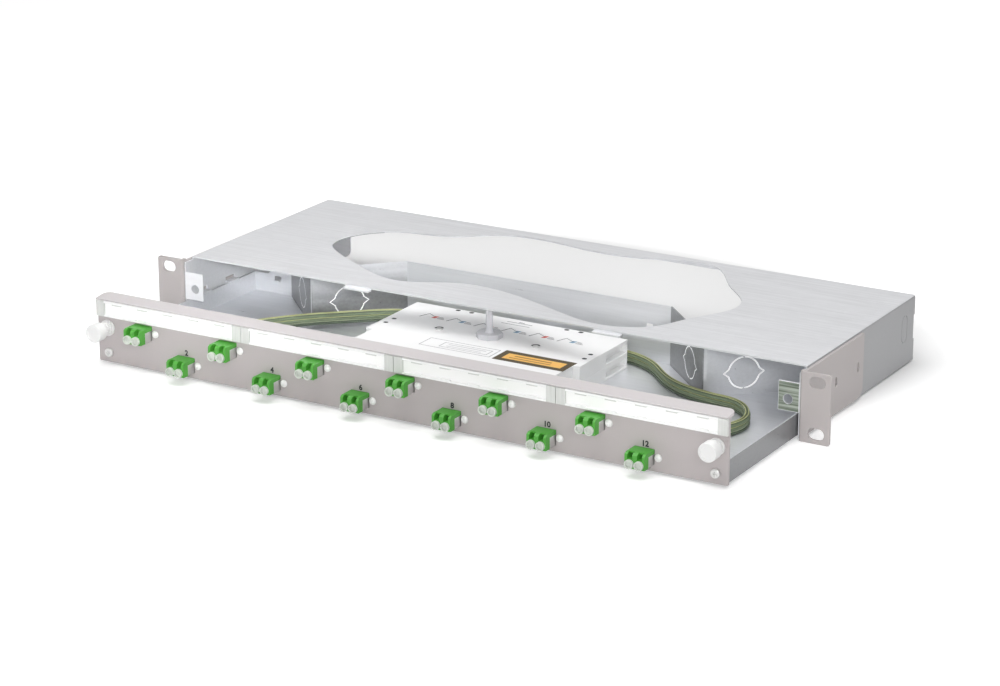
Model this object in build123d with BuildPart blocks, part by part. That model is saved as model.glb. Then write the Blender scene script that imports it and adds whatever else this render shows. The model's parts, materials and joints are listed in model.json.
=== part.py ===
# Fibre patch panel, one rack unit high, with its splice drawer pulled out
# X runs along the front, Y to the rear and Z up. The origin is the centre of the rack hole
# pattern, in the front plane of the ears, so heights are counted from the ears' lower edge.
from build123d import *
from math import radians, sin, tan
import os

os.makedirs("parts", exist_ok=True)

# Rack standard
rack_unit = 43.65
rack_width = 482.6
rack_hole_inset = 8.75
rack_hole_pitch_x = rack_width - 2 * rack_hole_inset
rack_hole_pitch_z = 31.75
rack_slot_length = 10.5
rack_slot_height = 7.2
base = -rack_unit / 2

# Housing: galvanised sheet, open below and behind
sheet = 1.0
ear_face_width = 19.8
housing_half = rack_width / 2 - ear_face_width
housing_height = 43.7
housing_top = base + housing_height
housing_bottom = base + 1.0
housing_rear = 171.1
cover_front = 10.4
bottom_lip = 8.0
fold_radius = 1.6
inner_half = housing_half - sheet
rear_notch_low = base + 15.0
rear_notch_high = base + 31.0
rear_notch_depth = 1.3
rear_flange_width = 18.5
rear_flange_low = base + 4.0
rear_flange_corner = 6.0
rear_lip = 3.4
front_tab_width = 19.0
front_tab_reach = 3.2
front_tab_joggle = 0.7
front_tab_spots = (-92.0, 88.4)

# Irregular opening in the cover, (x, y) round its edge
window_edge = (
    (-158, 83), (-158, 100), (-135, 128), (-100, 136), (-73, 155), (-28, 158.5),
    (5, 153.5), (40, 158), (66, 166), (83, 164), (111, 131), (134, 101),
    (135.5, 89), (121, 57), (108, 30), (80, 18), (46, 27), (-9, 47),
    (-39, 47.5), (-74, 33), (-115, 48), (-147, 69),
)

# Ears
ear_sheet = 2.0
ear_edge_radius = 1.5
flange_rear = 88.0
flange_low = base + 2.0
flange_high = base + 42.3
flange_chamfer = 4.0
flange_slot_spots = (48.0, 80.5)
flange_slot_height = 6.4
flange_slot_width = 2.6
flange_slot_level = base + 22.5

# Latch, its hole in the strike flange, and the strike flange
latch_inset = 8.2
latch_x = housing_half - latch_inset
latch_z = base + 24.2
latch_hole = 2.5
latch_play = 0.35
lug_radius = 2.65
strike_front = 1.8
strike_foot = 16.8
strike_low = base + strike_foot
strike_height = 18.2
strike_high = strike_low + strike_height
strike_reach = 13.5

# Guide tabs lanced out of the side walls, above the drawer's sides
guide_spots = (21.5, 51.0)
guide_lengths = (7.0, 10.0)
guide_reach = 3.6
guide_gap = 0.5
guide_window = 2.4

# Knock-outs
knockout_radius = 10.3
knockout_groove = 0.4
knockout_web = 1.6
knockout_ear = 3.1
knockout_ear_root = 1.5
knockout_ear_angle = 36.0
side_knockout_height = 18.0
side_knockout_width = 8.5
side_knockout_y = 155.3
side_knockout_z = base + 25.3

# Drawer
drawer_out = 91.2
body_gap = 0.3
side_gap = 1.0
rear_gap = sheet + body_gap
top_gap = 1.2
panel_sheet = 1.5
panel_end_gap = 0.65
panel_half = housing_half - panel_end_gap
panel_low = base + 1.6
panel_height = 40.4
panel_high = panel_low + panel_height
panel_front = -drawer_out
panel_back = panel_front + panel_sheet
tray_half = inner_half - side_gap
tray_rear = housing_rear - rear_gap - drawer_out
tray_low = housing_bottom + sheet + body_gap
tray_floor = tray_low + sheet
tray_side_height = 12.7
tray_side_top = tray_floor + tray_side_height
tray_wall_top = housing_top - sheet - top_gap
tray_flange = 14.5
low_corner_width = 13.5
entry_half = 45.5
entry_inset = 76.5
entry_centre = tray_half - entry_inset
entry_knockout_from_apex = 25.0
entry_knockout_z = base + 17.5
corner_screw_inset = 7.85
corner_screw_x = panel_half - corner_screw_inset
corner_screw_z = base + 8.0
corner_screw_radius = 1.5
lance_width = 5.0
lance_window = 2.2
lance_reach = 3.2
lance_tongue = 4.4
corner_lance_inset = 19.5
corner_lance_z = base + 14.0
middle_lance_from_fold = 15.5
middle_lance_z = base + 27.0

# Adapters
first_adapter_inset = 35.25
first_adapter_x = first_adapter_inset - panel_half
adapter_pitch = 32.1
adapter_end_room = 26.0
adapter_count = 1 + int((2 * panel_half - first_adapter_inset - adapter_end_room) / adapter_pitch)
upper_row = base + 25.6
lower_row = base + 10.2
adapter_width = 12.9
adapter_height = 9.4
adapter_front_length = 12.0
adapter_rear_length = 14.0
adapter_flange_width = 22.0
adapter_flange = 2.0
adapter_collar = 4.8
adapter_play = 0.15
clip_sheet = 0.4
clip_recess = 0.7
clip_ledge = 2.2
port_offset = 3.125
port_drop = 1.9
port_radius = 2.3
port_depth = 10.0
key_width = 3.2
key_height = 2.9
key_rise = 2.2
key_depth = 7.0
rivet_offset = 9.0
rivet_radius = 1.1
rivet_head_radius = 2.4
rivet_head = 1.6
fit_play = 0.1

# Dust caps and rear plugs
cap_radius = 2.8
cap_length = 2.0
cap_wall = 0.7
cap_hollow = 1.6
plug_depth = 8.0
plug_width = 5.4
plug_height = 6.6
plug_length = 11.5
boot_radius = 1.8
boot_length = 12.0

# Label rail, holders and cards
rail_front = panel_front - 2.0
rail_overlap = 9.5
rail_rear = rail_overlap - drawer_out
rail_front_height = 43.2
rail_front_top = base + rail_front_height
rail_rise = 1.4
rail_rear_top = rail_front_top + rail_rise
rail_thickness = 2.0
rail_web = 1.3
rail_web_low = base + 38.0
rail_corner = 5.0
holder_count = 4
holder_low = base + 31.85
holder_gap = 0.5
holder_end = 6.0
holder_top_edge = 1.4
holder_bottom_edge = 1.0
holder_tab_count = 5
holder_tab_length = 7.0
holder_tab_height = 0.7
card_pocket = 0.5
card_thickness = 0.4
card_play = 0.2

# Latch plunger and grommet
grommet_flange_radius = 5.2
grommet_flange = 1.4
grommet_core = 3.9
grommet_rib_radius = 4.6
grommet_rib = 1.1
grommet_rib_pitch = 1.9
grommet_ribs = 4
grommet_sleeve = 2.4
grommet_length = 13.2
grommet_slit = 0.7
plunger_travel = 3.0
plunger_stem = 1.4
plunger_head_radius = 5.8
plunger_head = 7.0
plunger_head_gap = 5.6
plunger_dish = 0.8
plunger_rim = 0.9

# Splice cassettes
cassette_half = 77.0
cassette_front = -34.0
cassette_rear = 58.0
cassette_height = 9.0
lid_sheet = 0.9
cassette_wall = 2.0
cassette_floor = 1.2
side_channel_front = 30.5
side_channel_depth = 4.5
side_channel_height = 5.6
notch_width = 5.0
notch_rear = -3.6
spool_offset = 38.0
spool_radius = 24.0
spool_wall = 1.2
spool_height = 5.0
entry_slot_inner = 3.0
entry_slot_outer = 44.0
entry_slot_depth = 19.0
lid_screw_x = 35.0
lid_screw_y = 16.0
lid_screw_radius = 2.2
lid_slots = ((34.9, 55.8), (45.0, 55.8), (71.3, 20.5), (71.9, 11.5))
lid_slot_length = 2.6
lid_slot_width = 1.9
post_y = 19.0
post_radius = 2.0
post_base = 11.5
post_base_height = 1.6
post_base_chamfer = 3.0
post_cap_radius = 2.8

# Pigtail bundles: route points, chosen by hand, of the right one; heights are the centre's
bundle_diameter = 8.0
bundle_z = tray_floor + body_gap + bundle_diameter / 2
bundle_lift = 1.6
right_route = (
    (22, -44, 0), (66, -43, 0), (108, -45, 0), (148, -44, 0), (177, -38, 0), (194, -9, 0),
    (177, 20, 0), (146, 22, 0), (118, 33, 0), (92, 62, 0), (60, 70, 0), (33, 63, 0), (9, 47, 0),
)
left_route = (
    (-22, -44, 0), (-66, -43, 0), (-110, -45, 0), (-155, -45.3, 0), (-171.5, -29, 0),
    (-171.5, -6, 0), (-143, 23, 1), (-118, 45, 1), (-93, 66, 1), (-62, 72, 0), (-33, 63, 0),
    (-9, 47, 0),
)


def front_plane(y):
    """Upright plane at this y that faces the front: local x is X and local y is Z."""
    return Plane.XZ.offset(-y)


def side_plane(x):
    """Upright plane at this x that faces right: local x is Y and local y is Z."""
    return Plane.YZ.offset(x)


def save(piece, label):
    piece.part.label = label
    export_step(piece.part, "parts/" + label + ".step")


def knockout_outline(radius):
    """Pre-cut groove of a round knock-out with a pointed ear each side, held by webs above and below."""
    angle = radians(knockout_ear_angle)
    root = radius - knockout_ear_root
    for inset, mode in ((0, Mode.ADD), (knockout_groove, Mode.SUBTRACT)):
        tip = radius + knockout_ear - inset / sin(angle)
        spread = (tip - root) * tan(angle)
        Circle(radius - inset, mode=mode)
        for side in (-1, 1):
            Polygon((side * tip, 0), (side * root, spread), (side * root, -spread), align=None, mode=mode)
    Rectangle(knockout_web, 3 * radius, mode=Mode.SUBTRACT)


# Housing shell
with BuildPart() as housing_shell:
    with BuildSketch(front_plane(cover_front)) as arch:
        with Locations((0, (housing_top + housing_bottom) / 2)):
            Rectangle(2 * housing_half, housing_top - housing_bottom)
        fillet(arch.vertices().group_by(Axis.Y)[-1], radius=fold_radius)
        with Locations((0, (housing_top + housing_bottom) / 2)):
            Rectangle(2 * inner_half, housing_top - housing_bottom - 2 * sheet, mode=Mode.SUBTRACT)
        with Locations((0, housing_bottom)):
            Rectangle(2 * (inner_half - bottom_lip), 4 * sheet, mode=Mode.SUBTRACT)
    extrude(amount=-(housing_rear - cover_front))
    # side walls run on to the ears, and their front edges are turned in as strike flanges
    with BuildSketch(front_plane(strike_front)):
        for side in (-1, 1):
            wall_x = side * (housing_half - sheet / 2)
            wall_top = panel_high - body_gap
            with Locations((wall_x, (wall_top + housing_bottom) / 2)):
                Rectangle(sheet, wall_top - housing_bottom)
    extrude(amount=-(cover_front - strike_front))
    with BuildSketch(front_plane(strike_front)):
        for side in (-1, 1):
            with Locations((side * (inner_half - strike_reach / 2), (strike_low + strike_high) / 2)):
                Rectangle(strike_reach, strike_high - strike_low)
            with Locations((side * latch_x, latch_z)):
                Circle(lug_radius + latch_play, mode=Mode.SUBTRACT)
    extrude(amount=-sheet)
    # the walls and the cover are turned in at the rear
    with BuildSketch(front_plane(housing_rear)):
        for side in (-1, 1):
            with Locations((side * (inner_half - rear_flange_width / 2), (housing_top - sheet + rear_flange_low) / 2)):
                Rectangle(rear_flange_width, housing_top - sheet - rear_flange_low)
            corner_x = side * (inner_half - rear_flange_width + rear_flange_corner / 2)
            with Locations((corner_x, rear_flange_low + rear_flange_corner / 2)):
                Rectangle(rear_flange_corner, rear_flange_corner, mode=Mode.SUBTRACT)
            with Locations((corner_x + side * rear_flange_corner / 2, rear_flange_low + rear_flange_corner)):
                Circle(rear_flange_corner)
        with Locations((0, housing_top - sheet - rear_lip / 2)):
            Rectangle(2 * inner_half, rear_lip)
    extrude(amount=sheet)
    # lanced guide tabs over the drawer's sides
    tab_low = tray_side_top + guide_gap
    for spot, length in zip(guide_spots, guide_lengths):
        with BuildSketch(Plane.XY.offset(tab_low)):
            for side in (-1, 1):
                with Locations((side * (inner_half - guide_reach / 2), spot)):
                    Rectangle(guide_reach, length)
        extrude(amount=sheet)
        with BuildSketch(side_plane(0)):
            with Locations((spot, tab_low + sheet + guide_window / 2)):
                Rectangle(length, guide_window)
        extrude(amount=2 * housing_half, both=True, mode=Mode.SUBTRACT)
    # tabs on the cover's front edge that reach under the label rail
    with BuildSketch(Plane.XY.offset(housing_top - 2 * sheet - front_tab_joggle)):
        for spot in front_tab_spots:
            with Locations((spot, cover_front - front_tab_reach / 2 + sheet / 2)):
                Rectangle(front_tab_width, front_tab_reach + sheet)
    extrude(amount=sheet)
    with BuildSketch(Plane.XY.offset(housing_top - sheet)):
        for spot in front_tab_spots:
            with Locations((spot, cover_front + sheet / 2)):
                Rectangle(front_tab_width, sheet)
    extrude(amount=-sheet)
    # irregular opening in the cover
    with BuildSketch(Plane.XY.offset(housing_top - sheet)):
        with BuildLine():
            Spline(*window_edge, periodic=True)
        make_face()
    extrude(amount=sheet, mode=Mode.SUBTRACT)
    # knock-outs and the shallow notches in the rear edges
    with BuildSketch(side_plane(0)):
        with Locations((side_knockout_y, side_knockout_z)):
            SlotOverall(side_knockout_height, side_knockout_width, rotation=90)
            SlotOverall(
                side_knockout_height - 2 * knockout_groove,
                side_knockout_width - 2 * knockout_groove,
                rotation=90,
                mode=Mode.SUBTRACT,
            )
            Rectangle(knockout_web, 2 * side_knockout_height, mode=Mode.SUBTRACT)
    extrude(amount=2 * housing_half, both=True, mode=Mode.SUBTRACT)
    with BuildSketch(front_plane(housing_rear)):
        for side in (-1, 1):
            with Locations((side * housing_half, (rear_notch_low + rear_notch_high) / 2)):
                Rectangle(2 * (sheet + fold_radius), rear_notch_high - rear_notch_low)
    extrude(amount=rear_notch_depth, mode=Mode.SUBTRACT)
save(housing_shell, "housing_shell")


# Ears
def make_ear(side):
    with BuildPart() as ear:
        with BuildSketch(Plane.XY.offset(base)) as bracket:
            with BuildLine():
                Polyline(
                    (side * housing_half, 0),
                    (side * rack_width / 2, 0),
                    (side * rack_width / 2, ear_sheet),
                    (side * (housing_half + ear_sheet), ear_sheet),
                    (side * (housing_half + ear_sheet), flange_rear),
                    (side * housing_half, flange_rear),
                    close=True,
                )
            make_face()
            inner = bracket.vertices().sort_by_distance((side * housing_half, 0, 0))[0]
            fillet(inner, radius=fold_radius)
        extrude(amount=rack_unit)
        with BuildSketch(side_plane(side * housing_half)) as flange_cut:
            with Locations(((ear_sheet + flange_rear) / 2 + ear_sheet, base)):
                Rectangle(flange_rear - ear_sheet, 2 * (flange_low - base))
            with Locations(((ear_sheet + flange_rear) / 2 + ear_sheet, base + rack_unit)):
                Rectangle(flange_rear - ear_sheet, 2 * (base + rack_unit - flange_high))
            with BuildLine():
                Polyline(
                    (flange_rear - flange_chamfer, flange_low),
                    (flange_rear, flange_low + flange_chamfer),
                    (flange_rear + flange_chamfer, flange_low - flange_chamfer),
                    close=True,
                )
            make_face()
            for spot in flange_slot_spots:
                with Locations((spot, flange_slot_level)):
                    SlotOverall(flange_slot_height, flange_slot_width, rotation=90)
        extrude(amount=side * ear_sheet, mode=Mode.SUBTRACT)
        with BuildSketch(front_plane(ear_sheet)):
            with Locations((side * rack_hole_pitch_x / 2, 0)):
                with GridLocations(1, rack_hole_pitch_z, 1, 2):
                    SlotOverall(rack_slot_length, rack_slot_height)
        extrude(amount=ear_sheet, mode=Mode.SUBTRACT)
        outer = ear.edges().filter_by(Axis.Y).group_by(Axis.X)[-1 if side > 0 else 0]
        fillet(outer, radius=ear_edge_radius)
    return ear


save(make_ear(-1), "ear_left")
save(make_ear(1), "ear_right")


# Drawer tray
def tray_points():
    """Plan of the tray: straight front and sides, and two cable entries folded in as a V in the rear wall."""
    right = [
        (entry_centre - entry_half, tray_rear),
        (entry_centre, tray_rear - entry_half),
        (entry_centre + entry_half, tray_rear),
        (tray_half, tray_rear),
        (tray_half, panel_back),
    ]
    left = [(-x, y) for x, y in reversed(right)]
    return right + left


with BuildPart() as tray:
    with BuildSketch(Plane.XY.offset(tray_low)) as tray_plan:
        with BuildLine():
            Polyline(*tray_points(), close=True)
        make_face()
        folds = tray_plan.vertices().filter_by(lambda v: v.Y > 0 and abs(v.X) < tray_half - 1)
        fillet(folds, radius=fold_radius)
    extrude(amount=sheet)
    with BuildSketch(Plane.XY.offset(tray_low)):
        add(tray_plan.sketch_local)
        offset(amount=-sheet, mode=Mode.SUBTRACT)
    extrude(amount=tray_wall_top - tray_low)
    # the front is open between two low screw flanges
    with BuildSketch(front_plane(panel_back + 2 * sheet)):
        with Locations((0, tray_wall_top)):
            Rectangle(2 * (tray_half - tray_flange), 2 * (tray_wall_top - tray_floor))
            Rectangle(2 * tray_half, 2 * (tray_wall_top - tray_side_top))
    extrude(amount=4 * sheet, mode=Mode.SUBTRACT)
    # the sides and the outer rear corners are low
    with BuildSketch(front_plane(tray_rear + sheet)) as low_corners:
        for side in (-1, 1):
            with Locations((side * tray_half, tray_wall_top)):
                RectangleRounded(2 * low_corner_width, 2 * (tray_wall_top - tray_side_top), 2 * fold_radius)
    extrude(amount=tray_rear - panel_back + 4 * sheet, mode=Mode.SUBTRACT)
    # rounded top corners of the middle rear wall, beside the folds
    with BuildSketch(front_plane(tray_rear + sheet)):
        for side in (-1, 1):
            fold_x = entry_centre - entry_half
            with Locations((side * (fold_x - 2 * fold_radius), tray_wall_top - 2 * fold_radius)):
                Rectangle(4 * fold_radius, 4 * fold_radius)
            with Locations((side * (fold_x - 4 * fold_radius), tray_wall_top - 4 * fold_radius)):
                Circle(4 * fold_radius, mode=Mode.SUBTRACT)
    extrude(amount=1.5 * sheet, mode=Mode.SUBTRACT)
    # knock-outs in the four entry faces
    for side in (-1, 1):
        for face in (-1, 1):
            reach = entry_knockout_from_apex / 2**0.5
            face_plane = Plane(
                origin=(side * entry_centre + face * reach, tray_rear - entry_half + reach, entry_knockout_z),
                x_dir=(face, 1, 0),
                z_dir=(face, -1, 0),
            )
            with BuildSketch(face_plane):
                knockout_outline(knockout_radius)
            extrude(amount=4 * sheet, both=True, mode=Mode.SUBTRACT)
    # cable tie lances in the rear wall
    corner_lance_x = tray_half - corner_lance_inset
    middle_lance_x = entry_centre - entry_half - middle_lance_from_fold
    lances = ((corner_lance_x, corner_lance_z), (middle_lance_x, middle_lance_z))
    for lance_x, lance_z in lances:
        with BuildSketch(front_plane(tray_rear + sheet)):
            for side in (-1, 1):
                with Locations((side * lance_x, lance_z)):
                    Rectangle(lance_width, lance_window)
        extrude(amount=3 * sheet, mode=Mode.SUBTRACT)
        with BuildSketch(front_plane(tray_rear)):
            for side in (-1, 1):
                with Locations((side * lance_x, lance_z - (lance_window + sheet) / 2)):
                    Rectangle(lance_tongue, sheet)
        extrude(amount=lance_reach)
    # screw holes in the front flanges
    with BuildSketch(front_plane(panel_back + 2 * sheet)):
        with Locations((-corner_screw_x, corner_screw_z), (corner_screw_x, corner_screw_z)):
            Circle(corner_screw_radius)
    extrude(amount=4 * sheet, mode=Mode.SUBTRACT)
save(tray, "tray")


# Front panel
def adapter_place(index):
    """Centre of an adapter on the panel: the first is in the upper row and they alternate."""
    height = upper_row if index % 2 == 0 else lower_row
    return first_adapter_x + index * adapter_pitch, height


adapter_places = [adapter_place(index) for index in range(adapter_count)]

with BuildPart() as front_panel:
    with BuildSketch(front_plane(panel_back)) as plate:
        with Locations((0, (panel_low + panel_high) / 2)):
            Rectangle(2 * panel_half, panel_high - panel_low)
        fillet(plate.vertices(), radius=fold_radius / 2)
        with Locations(*adapter_places):
            Rectangle(
                adapter_width + 2 * adapter_play,
                adapter_height + 2 * adapter_play,
                mode=Mode.SUBTRACT,
            )
            with GridLocations(2 * rivet_offset, 1, 2, 1):
                Circle(rivet_radius + fit_play, mode=Mode.SUBTRACT)
        with Locations((-latch_x, latch_z), (latch_x, latch_z)):
            Circle(latch_hole, mode=Mode.SUBTRACT)
        with Locations((-corner_screw_x, corner_screw_z), (corner_screw_x, corner_screw_z)):
            Circle(corner_screw_radius, mode=Mode.SUBTRACT)
    extrude(amount=panel_sheet)
save(front_panel, "front_panel")

# Corner screws: pan heads with a cross recess, one at each end of the panel
screw_head_radius = 3.0
screw_head = 1.7
screw_length = 7.0
cross_width = 0.8
cross_length = 3.0
with BuildPart() as panel_screws:
    with BuildSketch(front_plane(panel_front)):
        with Locations((-corner_screw_x, corner_screw_z), (corner_screw_x, corner_screw_z)):
            Circle(screw_head_radius)
    extrude(amount=screw_head)
    rims = panel_screws.edges().group_by(Axis.Y)[0]
    fillet(rims, radius=screw_head / 2)
    with BuildSketch(front_plane(panel_front)):
        with Locations((-corner_screw_x, corner_screw_z), (corner_screw_x, corner_screw_z)):
            Circle(corner_screw_radius - fit_play)
    extrude(amount=-screw_length)
    with BuildSketch(front_plane(panel_front - screw_head / 2)):
        with Locations((-corner_screw_x, corner_screw_z), (corner_screw_x, corner_screw_z)):
            Rectangle(cross_length, cross_width)
            Rectangle(cross_width, cross_length)
    extrude(amount=screw_head, mode=Mode.SUBTRACT)
save(panel_screws, "panel_screws")

# Label rail that grips the panel's top edge
with BuildPart() as label_rail:
    with BuildSketch(side_plane(-panel_half)) as rail_section:
        with BuildLine():
            Polyline(
                (rail_front, panel_high + body_gap),
                (rail_front, rail_front_top),
                (rail_rear, rail_rear_top),
                (rail_rear, rail_rear_top - rail_thickness),
                (panel_back + rail_web, panel_high + body_gap / 2),
                (panel_back + rail_web, rail_web_low),
                (panel_back, rail_web_low),
                (panel_back, panel_high),
                (panel_front, panel_high),
                (panel_front, panel_high + body_gap),
                close=True,
            )
        make_face()
        top_corners = rail_section.vertices().filter_by(lambda v: v.Z > panel_high + 2 * body_gap)
        fillet(top_corners, radius=0.4)
    extrude(amount=2 * panel_half)
    with BuildSketch(Plane.XY.offset(base)) as rear_corners:
        for side in (-1, 1):
            with Locations((side * (panel_half - rail_corner / 2), rail_rear - rail_corner / 2)):
                Rectangle(rail_corner, rail_corner)
            with Locations((side * (panel_half - rail_corner), rail_rear - rail_corner)):
                Circle(rail_corner, mode=Mode.SUBTRACT)
    extrude(amount=2 * rack_unit, mode=Mode.SUBTRACT)
    with BuildSketch(front_plane(rail_rear)):
        for side in (-1, 1):
            with Locations((side * (tray_half + panel_half) / 2, (rail_web_low + panel_high - body_gap) / 2)):
                Rectangle(panel_half - tray_half, panel_high - body_gap - rail_web_low)
    extrude(amount=rail_rear - panel_back, mode=Mode.SUBTRACT)
save(label_rail, "label_rail")

# Label holders and cards, four alike side by side
holder_pitch = 2 * panel_half / holder_count
holder_width = holder_pitch - holder_gap
holder_high = panel_high
holder_height = holder_high - holder_low
window_width = holder_width - 2 * holder_end
window_low = holder_low + holder_bottom_edge
window_high = holder_high - holder_top_edge
for number in range(holder_count):
    holder_x = (number - (holder_count - 1) / 2) * holder_pitch
    with BuildPart() as label_holder:
        with BuildSketch(front_plane(panel_front)):
            with Locations((holder_x, (holder_low + holder_high) / 2)):
                Rectangle(holder_width, holder_height)
            with Locations((holder_x, (window_low + window_high) / 2)):
                Rectangle(window_width, window_high - window_low, mode=Mode.SUBTRACT)
            tab_pitch = window_width / holder_tab_count
            for edge in (window_low + holder_tab_height / 2, window_high - holder_tab_height / 2):
                with Locations((holder_x, edge)):
                    with GridLocations(tab_pitch, 1, holder_tab_count, 1):
                        Rectangle(holder_tab_length, holder_tab_height)
        extrude(amount=panel_front - rail_front)
        with BuildSketch(front_plane(panel_front)):
            with Locations((holder_x, (window_low + window_high) / 2)):
                Rectangle(window_width + 2, window_high - window_low + 1)
        extrude(amount=card_pocket, mode=Mode.SUBTRACT)
    save(label_holder, "label_holder_" + str(number + 1))
    with BuildPart() as label_card:
        with BuildSketch(front_plane(panel_front - (card_pocket - card_thickness))):
            with Locations((holder_x, (window_low + window_high) / 2)):
                Rectangle(window_width + 2 - 2 * card_play, window_high - window_low + 1 - 2 * card_play)
        extrude(amount=card_thickness)
    save(label_card, "label_card_" + str(number + 1))

# Adapters, each with two ports side by side
core_width = adapter_width - 2 * clip_recess
port_spots = (-port_offset, port_offset)
adapter_face = panel_front - adapter_front_length
adapter_back = panel_back + adapter_rear_length + adapter_flange


def make_adapter(centre_x, centre_z):
    with BuildPart() as adapter:
        with BuildSketch(front_plane(adapter_back)):
            with Locations((centre_x, centre_z)):
                Rectangle(adapter_width, adapter_height)
        extrude(amount=adapter_rear_length)
        with BuildSketch(front_plane(panel_back + adapter_flange)):
            with Locations((centre_x, centre_z)):
                Rectangle(adapter_flange_width, adapter_height)
                with GridLocations(2 * rivet_offset, 1, 2, 1):
                    Circle(rivet_radius + fit_play, mode=Mode.SUBTRACT)
        extrude(amount=adapter_flange)
        with BuildSketch(front_plane(panel_back)):
            with Locations((centre_x, centre_z + clip_sheet / 2)):
                Rectangle(core_width, adapter_height - clip_sheet)
            ledge_height = adapter_height / 2 - clip_ledge
            with Locations((centre_x, centre_z + clip_ledge + ledge_height / 2)):
                Rectangle(adapter_width, ledge_height)
        extrude(amount=panel_sheet + adapter_front_length - adapter_collar)
        with BuildSketch(front_plane(adapter_face + adapter_collar)):
            with Locations((centre_x, centre_z)):
                Rectangle(adapter_width, adapter_height)
        extrude(amount=adapter_collar)
        for start, direction in ((adapter_face, -1), (adapter_back, 1)):
            with BuildSketch(front_plane(start)):
                for spot in port_spots:
                    with Locations((centre_x + spot, centre_z - port_drop)):
                        Circle(port_radius)
            extrude(amount=direction * port_depth, mode=Mode.SUBTRACT)
            with BuildSketch(front_plane(start)):
                for spot in port_spots:
                    with Locations((centre_x + spot, centre_z + key_rise)):
                        Rectangle(key_width, key_height)
            extrude(amount=direction * key_depth, mode=Mode.SUBTRACT)
    return adapter


def make_caps(centre_x, centre_z):
    with BuildPart() as caps:
        for spot in port_spots:
            with BuildSketch(front_plane(adapter_face + plug_depth)):
                with Locations((centre_x + spot, centre_z - port_drop)):
                    Circle(port_radius - fit_play)
            extrude(amount=plug_depth)
            with BuildSketch(front_plane(adapter_face)):
                with Locations((centre_x + spot, centre_z - port_drop)):
                    Circle(cap_radius)
            extrude(amount=cap_length)
            with BuildSketch(front_plane(adapter_face - cap_length + cap_hollow)):
                with Locations((centre_x + spot, centre_z - port_drop)):
                    Circle(cap_radius - cap_wall)
            extrude(amount=cap_hollow, mode=Mode.SUBTRACT)
    return caps


for index, (adapter_x, adapter_z) in enumerate(adapter_places):
    number = str(index + 1).zfill(2)
    save(make_adapter(adapter_x, adapter_z), "adapter_" + number)
    save(make_caps(adapter_x, adapter_z), "dust_caps_" + number)

# Sheet clips under the adapters, rivets through their flanges and the plugs behind them
with BuildPart() as adapter_clips:
    with BuildSketch(front_plane(panel_back + adapter_flange)):
        for adapter_x, adapter_z in adapter_places:
            clip_low = adapter_z - adapter_height / 2
            clip_high = adapter_z + clip_ledge
            with Locations((adapter_x, (clip_low + clip_high) / 2)):
                Rectangle(core_width + 2 * clip_sheet, clip_high - clip_low)
            with Locations((adapter_x, (clip_low + clip_high) / 2 + clip_sheet)):
                Rectangle(core_width, clip_high - clip_low, mode=Mode.SUBTRACT)
    extrude(amount=panel_sheet + adapter_flange + adapter_front_length - adapter_collar)
    with BuildSketch(front_plane(panel_back + adapter_flange)):
        with Locations((0, base + rack_unit / 2)):
            Rectangle(rack_width, rack_unit)
    extrude(amount=adapter_flange, mode=Mode.SUBTRACT)
save(adapter_clips, "adapter_clips")

with BuildPart() as adapter_rivets:
    with BuildSketch(front_plane(panel_front)):
        with Locations(*adapter_places):
            with GridLocations(2 * rivet_offset, 1, 2, 1):
                Circle(rivet_head_radius)
    extrude(amount=rivet_head)
    rims = adapter_rivets.edges().group_by(Axis.Y)[0]
    fillet(rims, radius=rivet_head * 0.7)
    with BuildSketch(front_plane(panel_back + adapter_flange + 1)):
        with Locations(*adapter_places):
            with GridLocations(2 * rivet_offset, 1, 2, 1):
                Circle(rivet_radius)
    extrude(amount=panel_sheet + adapter_flange + 1)
save(adapter_rivets, "adapter_rivets")

with BuildPart() as pigtail_plugs:
    with BuildSketch(front_plane(adapter_back)):
        for adapter_x, adapter_z in adapter_places:
            with Locations((adapter_x, adapter_z - port_drop)):
                with GridLocations(2 * port_offset, 1, 2, 1):
                    Circle(port_radius - fit_play)
    extrude(amount=plug_depth)
    with BuildSketch(front_plane(adapter_back + plug_length)):
        for adapter_x, adapter_z in adapter_places:
            with Locations((adapter_x, adapter_z - port_drop + (plug_height - plug_width) / 2)):
                with GridLocations(2 * port_offset, 1, 2, 1):
                    Rectangle(plug_width, plug_height)
    extrude(amount=plug_length)
    with BuildSketch(front_plane(adapter_back + plug_length + boot_length)):
        for adapter_x, adapter_z in adapter_places:
            with Locations((adapter_x, adapter_z - port_drop)):
                with GridLocations(2 * port_offset, 1, 2, 1):
                    Circle(boot_radius)
    extrude(amount=boot_length)
save(pigtail_plugs, "pigtail_plugs")


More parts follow.
